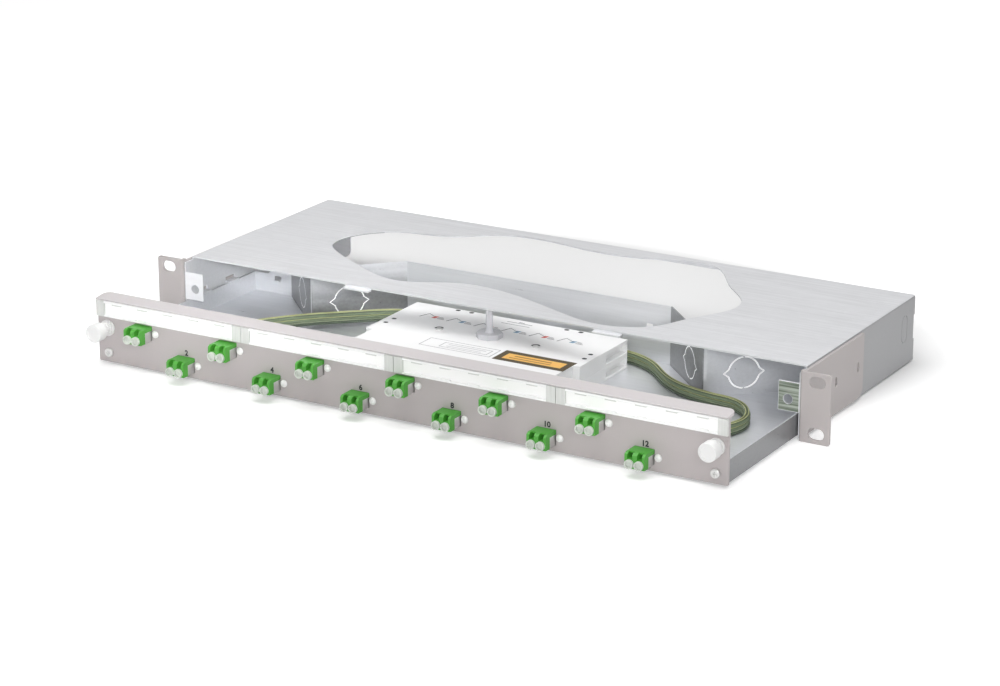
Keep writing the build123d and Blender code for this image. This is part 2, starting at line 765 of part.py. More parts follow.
# Push-pull latches
def make_grommet(side):
    with BuildPart() as grommet:
        with BuildSketch(front_plane(panel_front)):
            with Locations((side * latch_x, latch_z)):
                Circle(grommet_flange_radius)
        extrude(amount=grommet_flange)
        collar_start = panel_front - grommet_flange
        with BuildSketch(front_plane(collar_start)):
            with Locations((side * latch_x, latch_z)):
                Circle(grommet_core)
        extrude(amount=grommet_ribs * grommet_rib_pitch)
        for rib in range(grommet_ribs):
            rib_start = collar_start - (rib + 1) * grommet_rib_pitch + grommet_rib
            with BuildSketch(front_plane(rib_start)):
                with Locations((side * latch_x, latch_z)):
                    Circle(grommet_rib_radius)
            extrude(amount=grommet_rib)
        with BuildSketch(front_plane(panel_front + grommet_length)):
            with Locations((side * latch_x, latch_z)):
                Circle(grommet_sleeve)
        extrude(amount=grommet_length)
        with BuildSketch(front_plane(panel_back + sheet)):
            with Locations((side * latch_x, latch_z)):
                Circle(lug_radius)
        extrude(amount=sheet)
        with BuildSketch(front_plane(panel_front + grommet_length)):
            with Locations((side * latch_x, latch_z)):
                Circle(plunger_stem + body_gap)
        extrude(amount=2 * grommet_length, mode=Mode.SUBTRACT)
        with BuildSketch(front_plane(panel_front + grommet_length)):
            with Locations((side * latch_x, latch_z)):
                Rectangle(4 * grommet_sleeve, grommet_slit)
                Rectangle(grommet_slit, 4 * grommet_sleeve)
        extrude(amount=grommet_length - panel_sheet - 2 * sheet, mode=Mode.SUBTRACT)
    return grommet


def make_plunger(side):
    # the left one is drawn out by its travel, the right one is pushed in
    drawn_out = plunger_travel if side < 0 else 0
    head_back = panel_front - plunger_head_gap - drawn_out
    collar_front = panel_front - drawn_out - grommet_flange - grommet_ribs * grommet_rib_pitch
    head_front = head_back - plunger_head
    stem_back = panel_front + grommet_length - sheet - drawn_out
    with BuildPart() as plunger:
        with BuildSketch(front_plane(head_back)):
            with Locations((side * latch_x, latch_z)):
                Circle(plunger_head_radius)
        extrude(amount=plunger_head)
        rim = plunger.edges().group_by(Axis.Y)[0]
        fillet(rim, radius=plunger_rim / 2)
        with BuildSketch(front_plane(head_front + plunger_dish)):
            with Locations((side * latch_x, latch_z)):
                Circle(plunger_head_radius - plunger_rim)
        extrude(amount=plunger_dish, mode=Mode.SUBTRACT)
        # the head is a cup that slides over the grommet's ribbed collar
        with BuildSketch(front_plane(head_back)):
            with Locations((side * latch_x, latch_z)):
                Circle(grommet_rib_radius + body_gap)
        extrude(amount=head_back - collar_front + body_gap, mode=Mode.SUBTRACT)
        with BuildSketch(front_plane(stem_back)):
            with Locations((side * latch_x, latch_z)):
                Circle(plunger_stem)
        extrude(amount=stem_back - collar_front + 2 * body_gap)
    return plunger


for side, word in ((-1, "left"), (1, "right")):
    save(make_grommet(side), "latch_grommet_" + word)
    save(make_plunger(side), "latch_plunger_" + word)


# Splice cassettes
def make_cassette(floor_level, open_rear):
    """Shallow tray with two fibre spools, and a channel along each side at the rear."""
    cavity_half = cassette_half - side_channel_depth - cassette_wall
    with BuildPart() as cassette:
        with BuildSketch(Plane.XY.offset(floor_level)):
            with Locations((0, (cassette_front + cassette_rear) / 2)):
                Rectangle(2 * cassette_half, cassette_rear - cassette_front)
            for side in (-1, 1):
                with Locations((side * cassette_half, (cassette_front + notch_rear) / 2)):
                    Rectangle(2 * notch_width, notch_rear - cassette_front, mode=Mode.SUBTRACT)
        extrude(amount=cassette_height)
        with BuildSketch(Plane.XY.offset(floor_level + cassette_floor)):
            cavity_rear = cassette_rear - entry_slot_depth - cassette_wall if open_rear else cassette_rear
            with Locations((0, (cassette_front + cavity_rear) / 2)):
                Rectangle(2 * cavity_half, cavity_rear - cassette_front - 2 * cassette_wall)
            with Locations((-spool_offset, 0), (spool_offset, 0)):
                Circle(spool_radius, mode=Mode.SUBTRACT)
                Circle(spool_radius - spool_wall)
        extrude(amount=cassette_height, mode=Mode.SUBTRACT)
        with BuildSketch(Plane.XY.offset(floor_level + cassette_floor + spool_height)):
            with Locations((-spool_offset, 0), (spool_offset, 0)):
                Circle(spool_radius)
                Circle(spool_radius - spool_wall, mode=Mode.SUBTRACT)
        extrude(amount=cassette_height, mode=Mode.SUBTRACT)
        with BuildSketch(side_plane(0)):
            channel_rear = cassette_rear - sheet
            with Locations(
                ((side_channel_front + channel_rear) / 2, floor_level + cassette_height / 2)
            ):
                Rectangle(channel_rear - side_channel_front, side_channel_height)
        extrude(amount=2 * cassette_half, both=True, mode=Mode.SUBTRACT)
        with BuildSketch(side_plane(0)):
            with Locations(
                ((side_channel_front + cassette_rear) / 2, floor_level + cassette_height / 2)
            ):
                Rectangle(cassette_rear - side_channel_front, side_channel_height + sheet)
        extrude(amount=cassette_half - side_channel_depth, both=True)
        if open_rear:
            with BuildSketch(Plane.XY.offset(floor_level)):
                slot_width = entry_slot_outer - entry_slot_inner
                for side in (-1, 1):
                    slot_x = side * (entry_slot_outer + entry_slot_inner) / 2
                    with Locations((slot_x, cassette_rear)):
                        Rectangle(slot_width, 2 * entry_slot_depth)
            extrude(amount=cassette_height, mode=Mode.SUBTRACT)
    return cassette


save(make_cassette(tray_floor, True), "cassette_lower")
save(make_cassette(tray_floor + cassette_height, False), "cassette_upper")
lid_low = tray_floor + 2 * cassette_height
lid_top = lid_low + lid_sheet

with BuildPart() as cassette_lid:
    with BuildSketch(Plane.XY.offset(lid_low)):
        with Locations((0, (cassette_front + cassette_rear) / 2)):
            Rectangle(2 * cassette_half, cassette_rear - cassette_front)
        for side in (-1, 1):
            with Locations((side * cassette_half, (cassette_front + notch_rear) / 2)):
                Rectangle(2 * notch_width, notch_rear - cassette_front, mode=Mode.SUBTRACT)
            with Locations((side * lid_screw_x, lid_screw_y)):
                Circle(lid_screw_radius / 2, mode=Mode.SUBTRACT)
            for slot_x, slot_y in lid_slots:
                with Locations((side * slot_x, slot_y)):
                    SlotOverall(lid_slot_length, lid_slot_width, mode=Mode.SUBTRACT)
    extrude(amount=lid_sheet)
save(cassette_lid, "cassette_lid")

with BuildPart() as lid_screws:
    with BuildSketch(Plane.XY.offset(lid_top)):
        with Locations((-lid_screw_x, lid_screw_y), (lid_screw_x, lid_screw_y)):
            Circle(lid_screw_radius)
    extrude(amount=lid_sheet)
    with BuildSketch(Plane.XY.offset(lid_low)):
        with Locations((-lid_screw_x, lid_screw_y), (lid_screw_x, lid_screw_y)):
            Circle(lid_screw_radius / 2 - fit_play)
    extrude(amount=lid_sheet)
save(lid_screws, "lid_screws")

# Clear post that keeps the stack down under the cover
with BuildPart() as hold_down_post:
    with BuildSketch(Plane.XY.offset(lid_top)) as foot:
        with Locations((0, post_y)):
            Rectangle(post_base, post_base)
        chamfer(foot.vertices(), length=post_base_chamfer)
    extrude(amount=post_base_height)
    with BuildSketch(Plane.XY.offset(lid_top)):
        with Locations((0, post_y)):
            Circle(post_radius)
    extrude(amount=tray_wall_top - lid_top)
    with BuildSketch(Plane.XY.offset(tray_wall_top)):
        with Locations((0, post_y)):
            Circle(post_cap_radius)
    extrude(amount=-post_base_height)
save(hold_down_post, "hold_down_post")


# Pigtail bundles
def make_bundle(route, label):
    points = [Vector(x, y, bundle_z + bundle_lift * lift) for x, y, lift in route]
    runs = [later - earlier for earlier, later in zip(points, points[1:])]
    radii = []
    for before, after in zip(runs, runs[1:]):
        shorter = min(before.length, after.length)
        radii.append(0.45 * shorter / tan(radians(before.get_angle(after) / 2)))
    print(label, "bend radii", [round(radius, 1) for radius in radii])
    with BuildPart() as bundle:
        with BuildLine() as path:
            FilletPolyline(*points, radius=radii)
        with BuildSketch(Plane(origin=points[0], z_dir=runs[0])):
            Circle(bundle_diameter / 2)
        sweep(path=path.line)
    section = bundle_diameter**2 * 3.14159 / 4
    length = path.wires()[0].length
    print(label, "length", round(length, 1), "volume over section", round(bundle.part.volume / section, 1))
    save(bundle, label)


make_bundle(left_route, "pigtail_bundle_left")
make_bundle(right_route, "pigtail_bundle_right")
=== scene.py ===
# %% [markdown]
# # A rack patch panel for optical fibre
# The object is a shallow steel housing that is screwed into a rack by its two ears, and a drawer
# that slides out of it. The solids, and how they move, come from the packed model. This lesson
# gives each of them the finish of the real piece, and makes the pieces that only need to be seen:
# the strands of the pigtail bundles, the print and the numbers.

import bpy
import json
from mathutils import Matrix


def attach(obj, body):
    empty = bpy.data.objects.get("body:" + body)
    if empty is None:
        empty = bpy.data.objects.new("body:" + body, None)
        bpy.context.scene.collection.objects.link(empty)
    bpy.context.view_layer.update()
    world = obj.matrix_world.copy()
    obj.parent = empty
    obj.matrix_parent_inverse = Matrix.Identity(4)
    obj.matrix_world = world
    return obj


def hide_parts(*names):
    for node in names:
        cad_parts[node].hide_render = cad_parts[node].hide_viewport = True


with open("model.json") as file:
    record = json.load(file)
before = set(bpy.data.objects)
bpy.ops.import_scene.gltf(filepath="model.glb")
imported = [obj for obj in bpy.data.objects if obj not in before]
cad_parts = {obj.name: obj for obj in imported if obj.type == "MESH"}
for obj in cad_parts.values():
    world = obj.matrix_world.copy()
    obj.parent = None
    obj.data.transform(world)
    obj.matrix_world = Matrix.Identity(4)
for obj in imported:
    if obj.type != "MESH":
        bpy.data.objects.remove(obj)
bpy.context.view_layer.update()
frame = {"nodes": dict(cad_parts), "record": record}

# %% Libraries
import json
from math import atan2, cos, pi, radians, sin

import bmesh
import bpy
import numpy as np
from mathutils import Vector

scene = bpy.context.scene
nodes = frame["nodes"]
base = -0.021825  # the ears' lower edges
print("solids:", len(nodes))

# %% [markdown]
# ## Camera
# The photograph looks down on the panel from the front and the right. Its angles and its focal
# length were found from the rack standard's known sizes, so the camera goes exactly there. A long
# lens from far away keeps the long edges almost parallel, as product photographs do.

# %% Set the camera
azimuth = radians(30.36)
elevation = radians(18.3)
back = Vector((sin(azimuth) * cos(elevation), -cos(azimuth) * cos(elevation), sin(elevation)))
camera_data = bpy.data.cameras.new("camera")
camera_data.lens = 108.70
camera_data.sensor_width = 36.0
camera = bpy.data.objects.new("camera", camera_data)
camera.location = (0.91202, -1.52488, 0.589365)
camera.rotation_euler = back.to_track_quat("Z", "Y").to_euler()
scene.collection.objects.link(camera)
scene.camera = camera
print("camera at", [round(c, 3) for c in camera.location])

# %% [markdown]
# ## Light
# Product photographs of white and grey metal are lit by large soft lamps, so edges shade gently.
# One wide lamp hangs above, two fill in from the front on either side, and the world adds an even
# grey. Together they show a colour about as it is written. Two small lamps with a narrow beam shine
# under the cover, where a studio would set reflectors, so the ends of the drawer don't go dull.

# %% Hang the lamps
def soft_lamp(name, place, size, watts, aim=(0.0, 0.0, 0.0), spread=180.0):
    data = bpy.data.lights.new(name, "AREA")
    data.shape = "RECTANGLE"
    data.size, data.size_y = size
    data.energy = watts
    data.spread = radians(spread)
    lamp = bpy.data.objects.new(name, data)
    lamp.location = place
    lamp.rotation_euler = (Vector(place) - Vector(aim)).to_track_quat("Z", "Y").to_euler()
    lamp.visible_camera = False
    scene.collection.objects.link(lamp)
    return lamp


lamps = [
    soft_lamp("lamp_over", (0.1, -0.1, 1.5), (1.8, 1.4), 21.0),
    soft_lamp("lamp_front_left", (-1.3, -1.3, 0.9), (1.2, 0.9), 2.7),
    soft_lamp("lamp_front_right", (0.85, -1.95, 0.62), (0.9, 0.5), 12.0),
    soft_lamp(
        "lamp_into_left", (0.12, -0.34, 0.17), (0.22, 0.04), 0.055,
        aim=(-0.19, 0.045, -0.002), spread=26.0,
    ),
    soft_lamp(
        "lamp_into_right", (0.42, -0.34, 0.18), (0.22, 0.04), 0.024,
        aim=(0.14, 0.035, -0.006), spread=26.0,
    ),
]
print("lamps:", [lamp.name for lamp in lamps])

# %% [markdown]
# ## Shader tools
# A finish is a small tree of nodes. Written as plain arithmetic it is easier to read than as
# links, so one class wraps a socket and turns `a * b` into a Math node. A second class holds the
# material, adds any other node by its type, settings and sockets, and keeps the common patterns.

# %% A socket that can be reckoned with
class Wire:
    def __init__(self, tree, socket):
        self.tree = tree
        self.socket = socket

    def reckon(self, operation, other=0.0, swapped=False):
        """A Math node on this socket and another value, which comes first if they are swapped."""
        math = self.tree.nodes.new("ShaderNodeMath")
        math.operation = operation
        for place, value in enumerate((other, self) if swapped else (self, other)):
            if isinstance(value, Wire):
                self.tree.links.new(value.socket, math.inputs[place])
            else:
                math.inputs[place].default_value = value
        return Wire(self.tree, math.outputs[0])

    def __add__(self, other):
        return self.reckon("ADD", other)

    def __sub__(self, other):
        return self.reckon("SUBTRACT", other)

    def __rsub__(self, other):
        return self.reckon("SUBTRACT", other, swapped=True)

    def __mul__(self, other):
        return self.reckon("MULTIPLY", other)

    def __lt__(self, other):
        return self.reckon("LESS_THAN", other)

    def __gt__(self, other):
        return self.reckon("GREATER_THAN", other)

    def __abs__(self):
        return self.reckon("ABSOLUTE")

    def held(self, low, high):
        return self.reckon("MAXIMUM", low).reckon("MINIMUM", high)

    __radd__ = __add__
    __rmul__ = __mul__


wire_skills = [name.strip("_") for name in vars(Wire) if callable(getattr(Wire, name))]
print("a wire can:", sorted(wire_skills))

# %% A finish
class Finish:
    """A material with one Principled shader, whose other nodes are added by type."""

    def __init__(self, name, **constants):
        self.material = bpy.data.materials.new(name)
        self.material.use_nodes = True
        self.tree = self.material.node_tree
        self.tree.nodes.clear()
        self.shader = self.node("ShaderNodeBsdfPrincipled", inputs=constants)
        self.output = self.node(
            "ShaderNodeOutputMaterial", inputs={"Surface": self.wire(self.shader)}
        )
        self.place = self.wire(self.node("ShaderNodeTexCoord"), "Object")

    def node(self, kind, settings=None, inputs=None):
        made = self.tree.nodes.new(kind)
        for name, value in (settings or {}).items():
            setattr(made, name, value)
        for name, value in (inputs or {}).items():
            self.feed(made.inputs[name], value)
        return made

    def feed(self, socket, value):
        if isinstance(value, Wire):
            self.tree.links.new(value.socket, socket)
        elif socket.type == "RGBA" and len(value) == 3:
            socket.default_value = (*value, 1.0)
        else:
            socket.default_value = value

    def wire(self, node, output=0):
        return Wire(self.tree, node.outputs[output])

    def noise(self, scale, detail=2.0, stretch=(1.0, 1.0, 1.0)):
        """Noise from 0 to 1. Scale is in features per metre."""
        mapping = self.node("ShaderNodeMapping", inputs={"Vector": self.place, "Scale": stretch})
        sockets = {"Vector": self.wire(mapping), "Scale": scale, "Detail": detail}
        return self.wire(self.node("ShaderNodeTexNoise", inputs=sockets))

    def along(self, axis):
        """The place along X, Y or Z, in metres from the object's origin."""
        apart = self.node("ShaderNodeSeparateXYZ", inputs={"Vector": self.place})
        return self.wire(apart, "XYZ".index(axis))

    def crystals(self, scale):
        """One grey for each crystal of a spangle."""
        cells = self.node("ShaderNodeTexVoronoi", inputs={"Vector": self.place, "Scale": scale})
        colour = self.wire(cells, "Color")
        return self.wire(self.node("ShaderNodeSeparateColor", inputs={"Color": colour}))

    def blend(self, amount, low, high):
        mix = self.node("ShaderNodeMix", {"data_type": "RGBA"})
        self.feed(mix.inputs[0], amount)
        self.feed(mix.inputs[6], low)
        self.feed(mix.inputs[7], high)
        return self.wire(mix, 2)

    def shade(self, **wires):
        for name, value in wires.items():
            self.feed(self.shader.inputs[name.replace("_", " ")], value)

    def bump(self, height, strength, distance):
        sockets = {"Height": height, "Strength": strength, "Distance": distance}
        self.shade(Normal=self.wire(self.node("ShaderNodeBump", inputs=sockets)))


print("a finish can:", sorted(name for name in vars(Finish) if not name.startswith("_")))

# %% [markdown]
# ## Finishes
# Galvanised sheet is steel in a skin of zinc. Rolling draws it into fine streaks, over crystals of
# slightly different grey: a Voronoi pattern gives one value for each. Powder paint has orange peel.
# Moulded plastic is even, with a very fine grain and slow changes in its gloss.

# %% Shade on the V-shaped cable entries
entry_centre = 0.143  # from the middle of the tray to a V's point
entry_point = 0.0331  # how far back the point lies
entry_width = 0.046  # of each slanted face, along X
entry_height = 0.035
entry_edge = 0.0003
entry_margin = 0.002


def tint(colour, factor):
    return tuple(min(1.0, channel * factor) for channel in colour)


def shaded_face(finish, entry):
    """1 on the face of a cable entry that looks to the left, away from the lamps."""
    x, y = finish.along("X"), finish.along("Y")
    behind = x + y > entry + entry_point - entry_margin
    return (x < entry - entry_edge) * (x > entry - entry_width) * behind


def mirrored_dark(finish, entry):
    """0 to 1, growing downwards, on the face of the left entry that mirrors what is dark."""
    x, y, z = (finish.along(axis) for axis in "XYZ")
    behind = y - x > entry_point - entry_margin - entry
    on_face = (x > entry + entry_edge) * (x < entry + entry_width) * behind
    lower = (z - base) * (-1 / entry_height) + 1.0
    streaks = finish.noise(60.0, 1.0, (0.2, 0.2, 3.0))
    return (on_face * (lower * 1.5 + streaks * 0.8 - 0.15)).held(0.0, 1.0)


print("cable entries at", (-entry_centre, entry_centre))

# %% Sheet metal and paint
def galvanised(name, colour, gloss, metallic, streaks, side_face, top_face, side_shade_tints):
    """Streaks of rolling over zinc crystals, with painted light and shade: the sides darker than
    the cover and the inside.
    """
    finish = Finish(name, Metallic=metallic)
    spangle = finish.crystals(170.0)
    rolled = finish.noise(620.0, 3.0, (0.035, 1.0, 1.0))
    cloud = finish.noise(11.0, 2.0)
    rest = 1.0 - streaks
    pattern = rolled * streaks + spangle * (0.3 * rest) + cloud * (0.7 * rest)
    # painted light and shade: the inside, the cover and the outer sides get lighter and darker
    # copies of one zinc, the outer sides darkest
    inside_light_and_shade = finish.blend(pattern, tint(colour, 1.0), tint(colour, 1.18))
    cover = finish.blend(pattern, tint(colour, 0.80), tint(colour, 1.15))
    side = finish.blend(pattern, *(tint(colour, factor) for factor in side_shade_tints))
    in_shade = finish.blend(pattern, tint(colour, 0.34), tint(colour, 0.62))
    shade = shaded_face(finish, -entry_centre) + shaded_face(finish, entry_centre)
    inside_light_and_shade = finish.blend(shade + mirrored_dark(finish, -entry_centre), inside_light_and_shade, in_shade)
    inside = finish.blend(finish.along("Z") > top_face, inside_light_and_shade, cover)
    finish.shade(
        Base_Color=finish.blend(abs(finish.along("X")) > side_face, inside, side),
        Roughness=gloss + pattern * 0.12 - 0.06,
    )
    finish.bump(rolled, 0.10, 0.00002)
    return finish.material


def zinc_plated(name, colour):
    finish = Finish(name, Metallic=0.9)
    grain = finish.noise(1600.0, 2.0)
    cloud = finish.noise(90.0)
    finish.shade(
        Base_Color=finish.blend(cloud, tint(colour, 0.88), tint(colour, 1.06)),
        Roughness=0.26 + cloud * 0.14,
    )
    finish.bump(grain, 0.08, 0.00002)
    return finish.material


def powder_paint(name, colour, roughness):
    finish = Finish(name)
    peel = finish.noise(1100.0, 2.0)
    cloud = finish.noise(18.0, 2.0)
    finish.shade(
        Base_Color=finish.blend(cloud, tint(colour, 0.975), tint(colour, 1.025)),
        Roughness=roughness + peel * 0.08 + cloud * 0.06 - 0.07,
    )
    finish.bump(peel, 0.16, 0.00003)
    return finish.material


housing_zinc = galvanised(
    "housing_zinc", (0.74, 0.745, 0.765), gloss=0.40, metallic=0.28, streaks=0.75,
    side_face=0.2211, top_face=0.0213, side_shade_tints=(0.45, 0.53),
)
tray_zinc = galvanised(
    "tray_zinc", (0.72, 0.73, 0.755), gloss=0.30, metallic=0.44, streaks=0.85,
    side_face=0.2193, top_face=0.03, side_shade_tints=(0.30, 0.38),
)
ear_paint = powder_paint("ear_paint", (0.445, 0.412, 0.408), 0.46)
panel_paint = powder_paint("panel_paint", (0.45, 0.413, 0.413), 0.46)
rail_paint = powder_paint("rail_paint", (0.56, 0.53, 0.535), 0.42)
bright_steel = zinc_plated("bright_steel", (0.72, 0.72, 0.71))
print("nodes of the tray's zinc:", len(tray_zinc.node_tree.nodes))

# %% Plastics
def moulded(name, colour, roughness, variation=0.03, **constants):
    finish = Finish(name, **constants)
    grain = finish.noise(2600.0, 2.0)
    cloud = finish.noise(70.0, 2.0)
    finish.shade(
        Base_Color=finish.blend(cloud, tint(colour, 1 - variation), tint(colour, 1 + variation)),
        Roughness=roughness + cloud * 0.08 - 0.04,
    )
    finish.bump(grain, 0.08, 0.00002)
    return finish.material


white_plastic = moulded("white_plastic", (0.80, 0.80, 0.79), 0.34)
latch_plastic = moulded("latch_plastic", (0.78, 0.78, 0.775), 0.36)
cassette_plastic = moulded("cassette_plastic", (0.88, 0.88, 0.88), 0.42, 0.012)
adapter_plastic = moulded("adapter_plastic", (0.07, 0.345, 0.038), 0.40, 0.06)
boot_plastic = moulded("boot_plastic", (0.07, 0.345, 0.038), 0.45, 0.06)
cap_plastic = moulded(
    "cap_plastic", (0.66, 0.70, 0.64), 0.30, **{"Transmission Weight": 0.12, "IOR": 1.42}
)
clear_plastic = moulded(
    "clear_plastic", (0.80, 0.80, 0.84), 0.16, 0.01, **{"Transmission Weight": 0.30, "IOR": 1.38}
)
print("nodes of the clear plastic:", len(clear_plastic.node_tree.nodes))

# %% Label holders
holder_half = 0.05521  # half the distance from one holder to the next
holder_end = 0.0063
clip_low, clip_high = 0.0398, 0.04065


def holder_finish():
    """White, with grey ribbed ends and grey upper clips, as a holder repeats along the panel."""
    finish = Finish("holder_plastic")
    ribs = finish.noise(900.0, 1.0, (1.0, 0.05, 0.05))
    height = finish.along("Z") - base
    from_joint = finish.along("X").reckon("PINGPONG", holder_half)
    grey = (from_joint < holder_end) + (height > clip_low) * (height < clip_high)
    ends = finish.blend(ribs, (0.55, 0.56, 0.54), (0.68, 0.69, 0.67))
    finish.shade(
        Base_Color=finish.blend(grey, (0.87, 0.87, 0.87), ends),
        Roughness=0.38 + ribs * 0.05,
    )
    return finish.material


holder_plastic = holder_finish()
print("grey ends of a holder:", holder_end, "m wide")

# %% Card and ink
def paper(name, colour):
    finish = Finish(name)
    fibre = finish.noise(3500.0, 3.0, (0.35, 1.0, 1.0))
    finish.shade(
        Base_Color=finish.blend(fibre, tint(colour, 0.985), tint(colour, 1.01)),
        Roughness=0.78 + fibre * 0.1,
    )
    finish.bump(fibre, 0.10, 0.00002)
    return finish.material


def ink(name, colour):
    finish = Finish(name)
    cover = finish.noise(1500.0, 2.0)
    finish.shade(
        Base_Color=finish.blend(cover, tint(colour, 0.9), tint(colour, 1.1)),
        Roughness=0.55 + cover * 0.1,
    )
    return finish.material


card = paper("card", (0.93, 0.93, 0.92))
black_ink_and_shade = ink("black_ink_and_shade", (0.02, 0.02, 0.025))
dark_ink = ink("dark_ink", (0.13, 0.13, 0.14))
grey_ink = ink("grey_ink", (0.30, 0.30, 0.31))
pale_ink = ink("pale_ink", (0.62, 0.62, 0.63))
border_ink = ink("border_ink", (0.075, 0.055, 0.025))
brown_ink = ink("brown_ink", (0.38, 0.21, 0.05))
amber_ink = ink("amber_ink", (0.82, 0.47, 0.12))
red_ink = ink("red_ink", (0.62, 0.13, 0.10))
blue_ink = ink("blue_ink", (0.20, 0.34, 0.46))
print("finishes:", len(bpy.data.materials))

# %% [markdown]
# ## Softened edges
# The solids have perfectly sharp edges, which no folded or moulded piece has, and only a rounded
# edge catches a line of light. Each solid's mesh is copied, its loose triangles are merged and its
# flat faces joined, and a narrow bevel goes round the edges. The copy then stands for the solid.

# %% Soften a solid
merge_distance = 1e-6
flat_angle = 0.5  # in degrees: faces that differ by less are one flat face


def plain_mesh(piece):
    """The piece's shape after its modifiers, as a mesh of its own."""
    graph = bpy.context.evaluated_depsgraph_get()
    return bpy.data.meshes.new_from_object(piece.evaluated_get(graph))


def softened(node, finish, width, angle=30.0, segments=2, cutter=None):
    """A bevelled copy of a solid, cut by another object where one is given."""
    mesh = nodes[node].data.copy()
    work = bmesh.new()
    work.from_mesh(mesh)
    bmesh.ops.remove_doubles(work, verts=work.verts, dist=merge_distance)
    limit = radians(flat_angle)
    bmesh.ops.dissolve_limit(
        work, angle_limit=limit, verts=work.verts, edges=work.edges, delimit={"NORMAL"}
    )
    for face in work.faces:
        face.smooth = True
    work.to_mesh(mesh)
    work.free()
    piece = bpy.data.objects.new(node + "_finished", mesh)
    scene.collection.objects.link(piece)
    if cutter:
        cut = piece.modifiers.new("cut", "BOOLEAN")
        cut.object = cutter
        cut.solver = "EXACT"
        cut.use_self = True
    bevel = piece.modifiers.new("bevel", "BEVEL")
    bevel.width = width
    bevel.segments = segments
    bevel.limit_method = "ANGLE"
    bevel.angle_limit = radians(angle)
    bevel.use_clamp_overlap = True
    bevel.harden_normals = True
    weigh = piece.modifiers.new("weigh", "WEIGHTED_NORMAL")
    weigh.weight = 100
    weigh.keep_sharp = True
    made = plain_mesh(piece)
    piece.modifiers.clear()
    piece.data = made
    made.materials.clear()
    made.materials.append(finish)
    record = frame["record"]
    body = next(b for b, names in record["behaviour"]["bodies"].items() if node in names)
    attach(piece, body)
    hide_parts(node)
    return piece


print("triangles in the solids:", sum(len(node.data.polygons) for node in nodes.values()))

# %% [markdown]
# ## Housing and ears
# The housing is one folded sheet, so its edges are only a cut sheet's: a bevel of a tenth of a
# millimetre. The ears are thicker and painted, and paint rounds an edge a little more.

# %% Finish the fixed side
fixed_side = [
    softened("housing_shell", housing_zinc, 0.00012),
    softened("ear_left", ear_paint, 0.0003),
    softened("ear_right", ear_paint, 0.0003),
]
print({piece.name: len(piece.data.polygons) for piece in fixed_side})

# %% [markdown]
# ## Drawer
# The tray is bent from the same sheet. The panel in front of it, the rail on top and the label
# holders are painted or moulded, so each has its own width of rounding.

# %% Finish the drawer
drawer_pieces = [
    softened("tray", tray_zinc, 0.00015),
    softened("front_panel", panel_paint, 0.0002),
    softened("label_rail", rail_paint, 0.0003),
    softened("adapter_clips", bright_steel, 0.00006, segments=1),
    softened("pigtail_plugs", boot_plastic, 0.0002, angle=50.0),
    softened("cassette_lower", cassette_plastic, 0.0003),
    softened("cassette_upper", cassette_plastic, 0.0003),
    softened("cassette_lid", cassette_plastic, 0.00025),
]
for side in ("left", "right"):
    drawer_pieces += [
        softened("latch_grommet_" + side, latch_plastic, 0.00018, angle=50.0),
        softened("latch_plunger_" + side, latch_plastic, 0.0002, angle=50.0),
    ]
print("finished pieces:", len(drawer_pieces))

# %% [markdown]
# ## Hold-down post
# A clear post on an eight-sided foot keeps the lid down. It is two closed shells, each drawn as
# rings from the bottom up: a foot of eight corners, and a round stem that widens in a hollow curve
# at its root.

# %% A solid of rings round an upright axis
largest_smooth_face = 3e-6  # in square metres, so the foot's sides stay flat


def ringed_solid(name, shells, depth):
    """Closed shells, each a list of (radius, height) rings with so many sides and a first turn."""
    work = bmesh.new()
    for sides, first_turn, shell in shells:
        turns = [2 * pi * (k + first_turn) / sides for k in range(sides)]
        rings = [
            [work.verts.new((radius * cos(a), depth + radius * sin(a), height)) for a in turns]
            for radius, height in shell
        ]
        work.faces.new(rings[0][::-1])
        work.faces.new(rings[-1])
        for lower, upper in zip(rings, rings[1:]):
            for k in range(sides):
                after = (k + 1) % sides
                face = work.faces.new((lower[k], lower[after], upper[after], upper[k]))
                face.smooth = face.calc_area() < largest_smooth_face
    mesh = bpy.data.meshes.new(name)
    work.to_mesh(mesh)
    work.free()
    return mesh


post_top = max(vertex.co.z for vertex in nodes["hold_down_post"].data.vertices)
print("the post's solid reaches", round(post_top, 4))

# %% Foot and stem
lid_height = base + 0.0222
post_depth = 0.019
foot_rings = ((0.0086, 0.0), (0.0087, 0.0027), (0.0083, 0.0032))
stem_rings = ((0.0034, 0.0030), (0.0029, 0.0034), (0.0025, 0.0041), (0.0023, 0.0052))
foot = [(radius, lid_height + height) for radius, height in foot_rings]
stem = [(radius, lid_height + height) for radius, height in stem_rings]
stem += [(0.0021, post_top - 0.0003), (0.0018, post_top)]
shells = [(8, 0.5, foot), (32, 0.0, stem)]
post_mesh = ringed_solid("hold_down_post_finished", shells, post_depth)
post_mesh.materials.append(clear_plastic)
post = bpy.data.objects.new("hold_down_post_finished", post_mesh)
scene.collection.objects.link(post)
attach(post, "drawer")
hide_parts("hold_down_post")
print("post:", len(post_mesh.polygons), "faces")

# %% [markdown]
# ## Adapters
# Each adapter's housing has a chamfered upper edge, and two key slots that run out through it. They
# are too small for the solids, so a cutter with that outline takes them away before the bevel.

# %% Places of the adapters
panel_front = -0.0912
adapter_front = panel_front - 0.012
first_adapter, adapter_pitch = -0.1856, 0.0321
row_heights = (base + 0.0256, base + 0.0102)
adapter_places = [
    (first_adapter + adapter_pitch * index, row_heights[index % 2]) for index in range(12)
]
print("adapters:", len(adapter_places))

# %% Cut the key slots and the chamfer
half_height = 0.0047  # of an adapter's housing
past = 0.001  # how far a cutter stands out of it
key_aside, key_half_width = 0.003125, 0.00155


def wedge(work, x, half_width, corners):
    """A prism along X with the given (y, z) corners."""
    rings = [
        [work.verts.new((x + side * half_width, y, z)) for y, z in corners] for side in (-1, 1)
    ]
    work.faces.new(rings[0])
    work.faces.new(rings[1][::-1])
    for k in range(len(corners)):
        after = (k + 1) % len(corners)
        work.faces.new((rings[0][k], rings[1][k], rings[1][after], rings[0][after]))


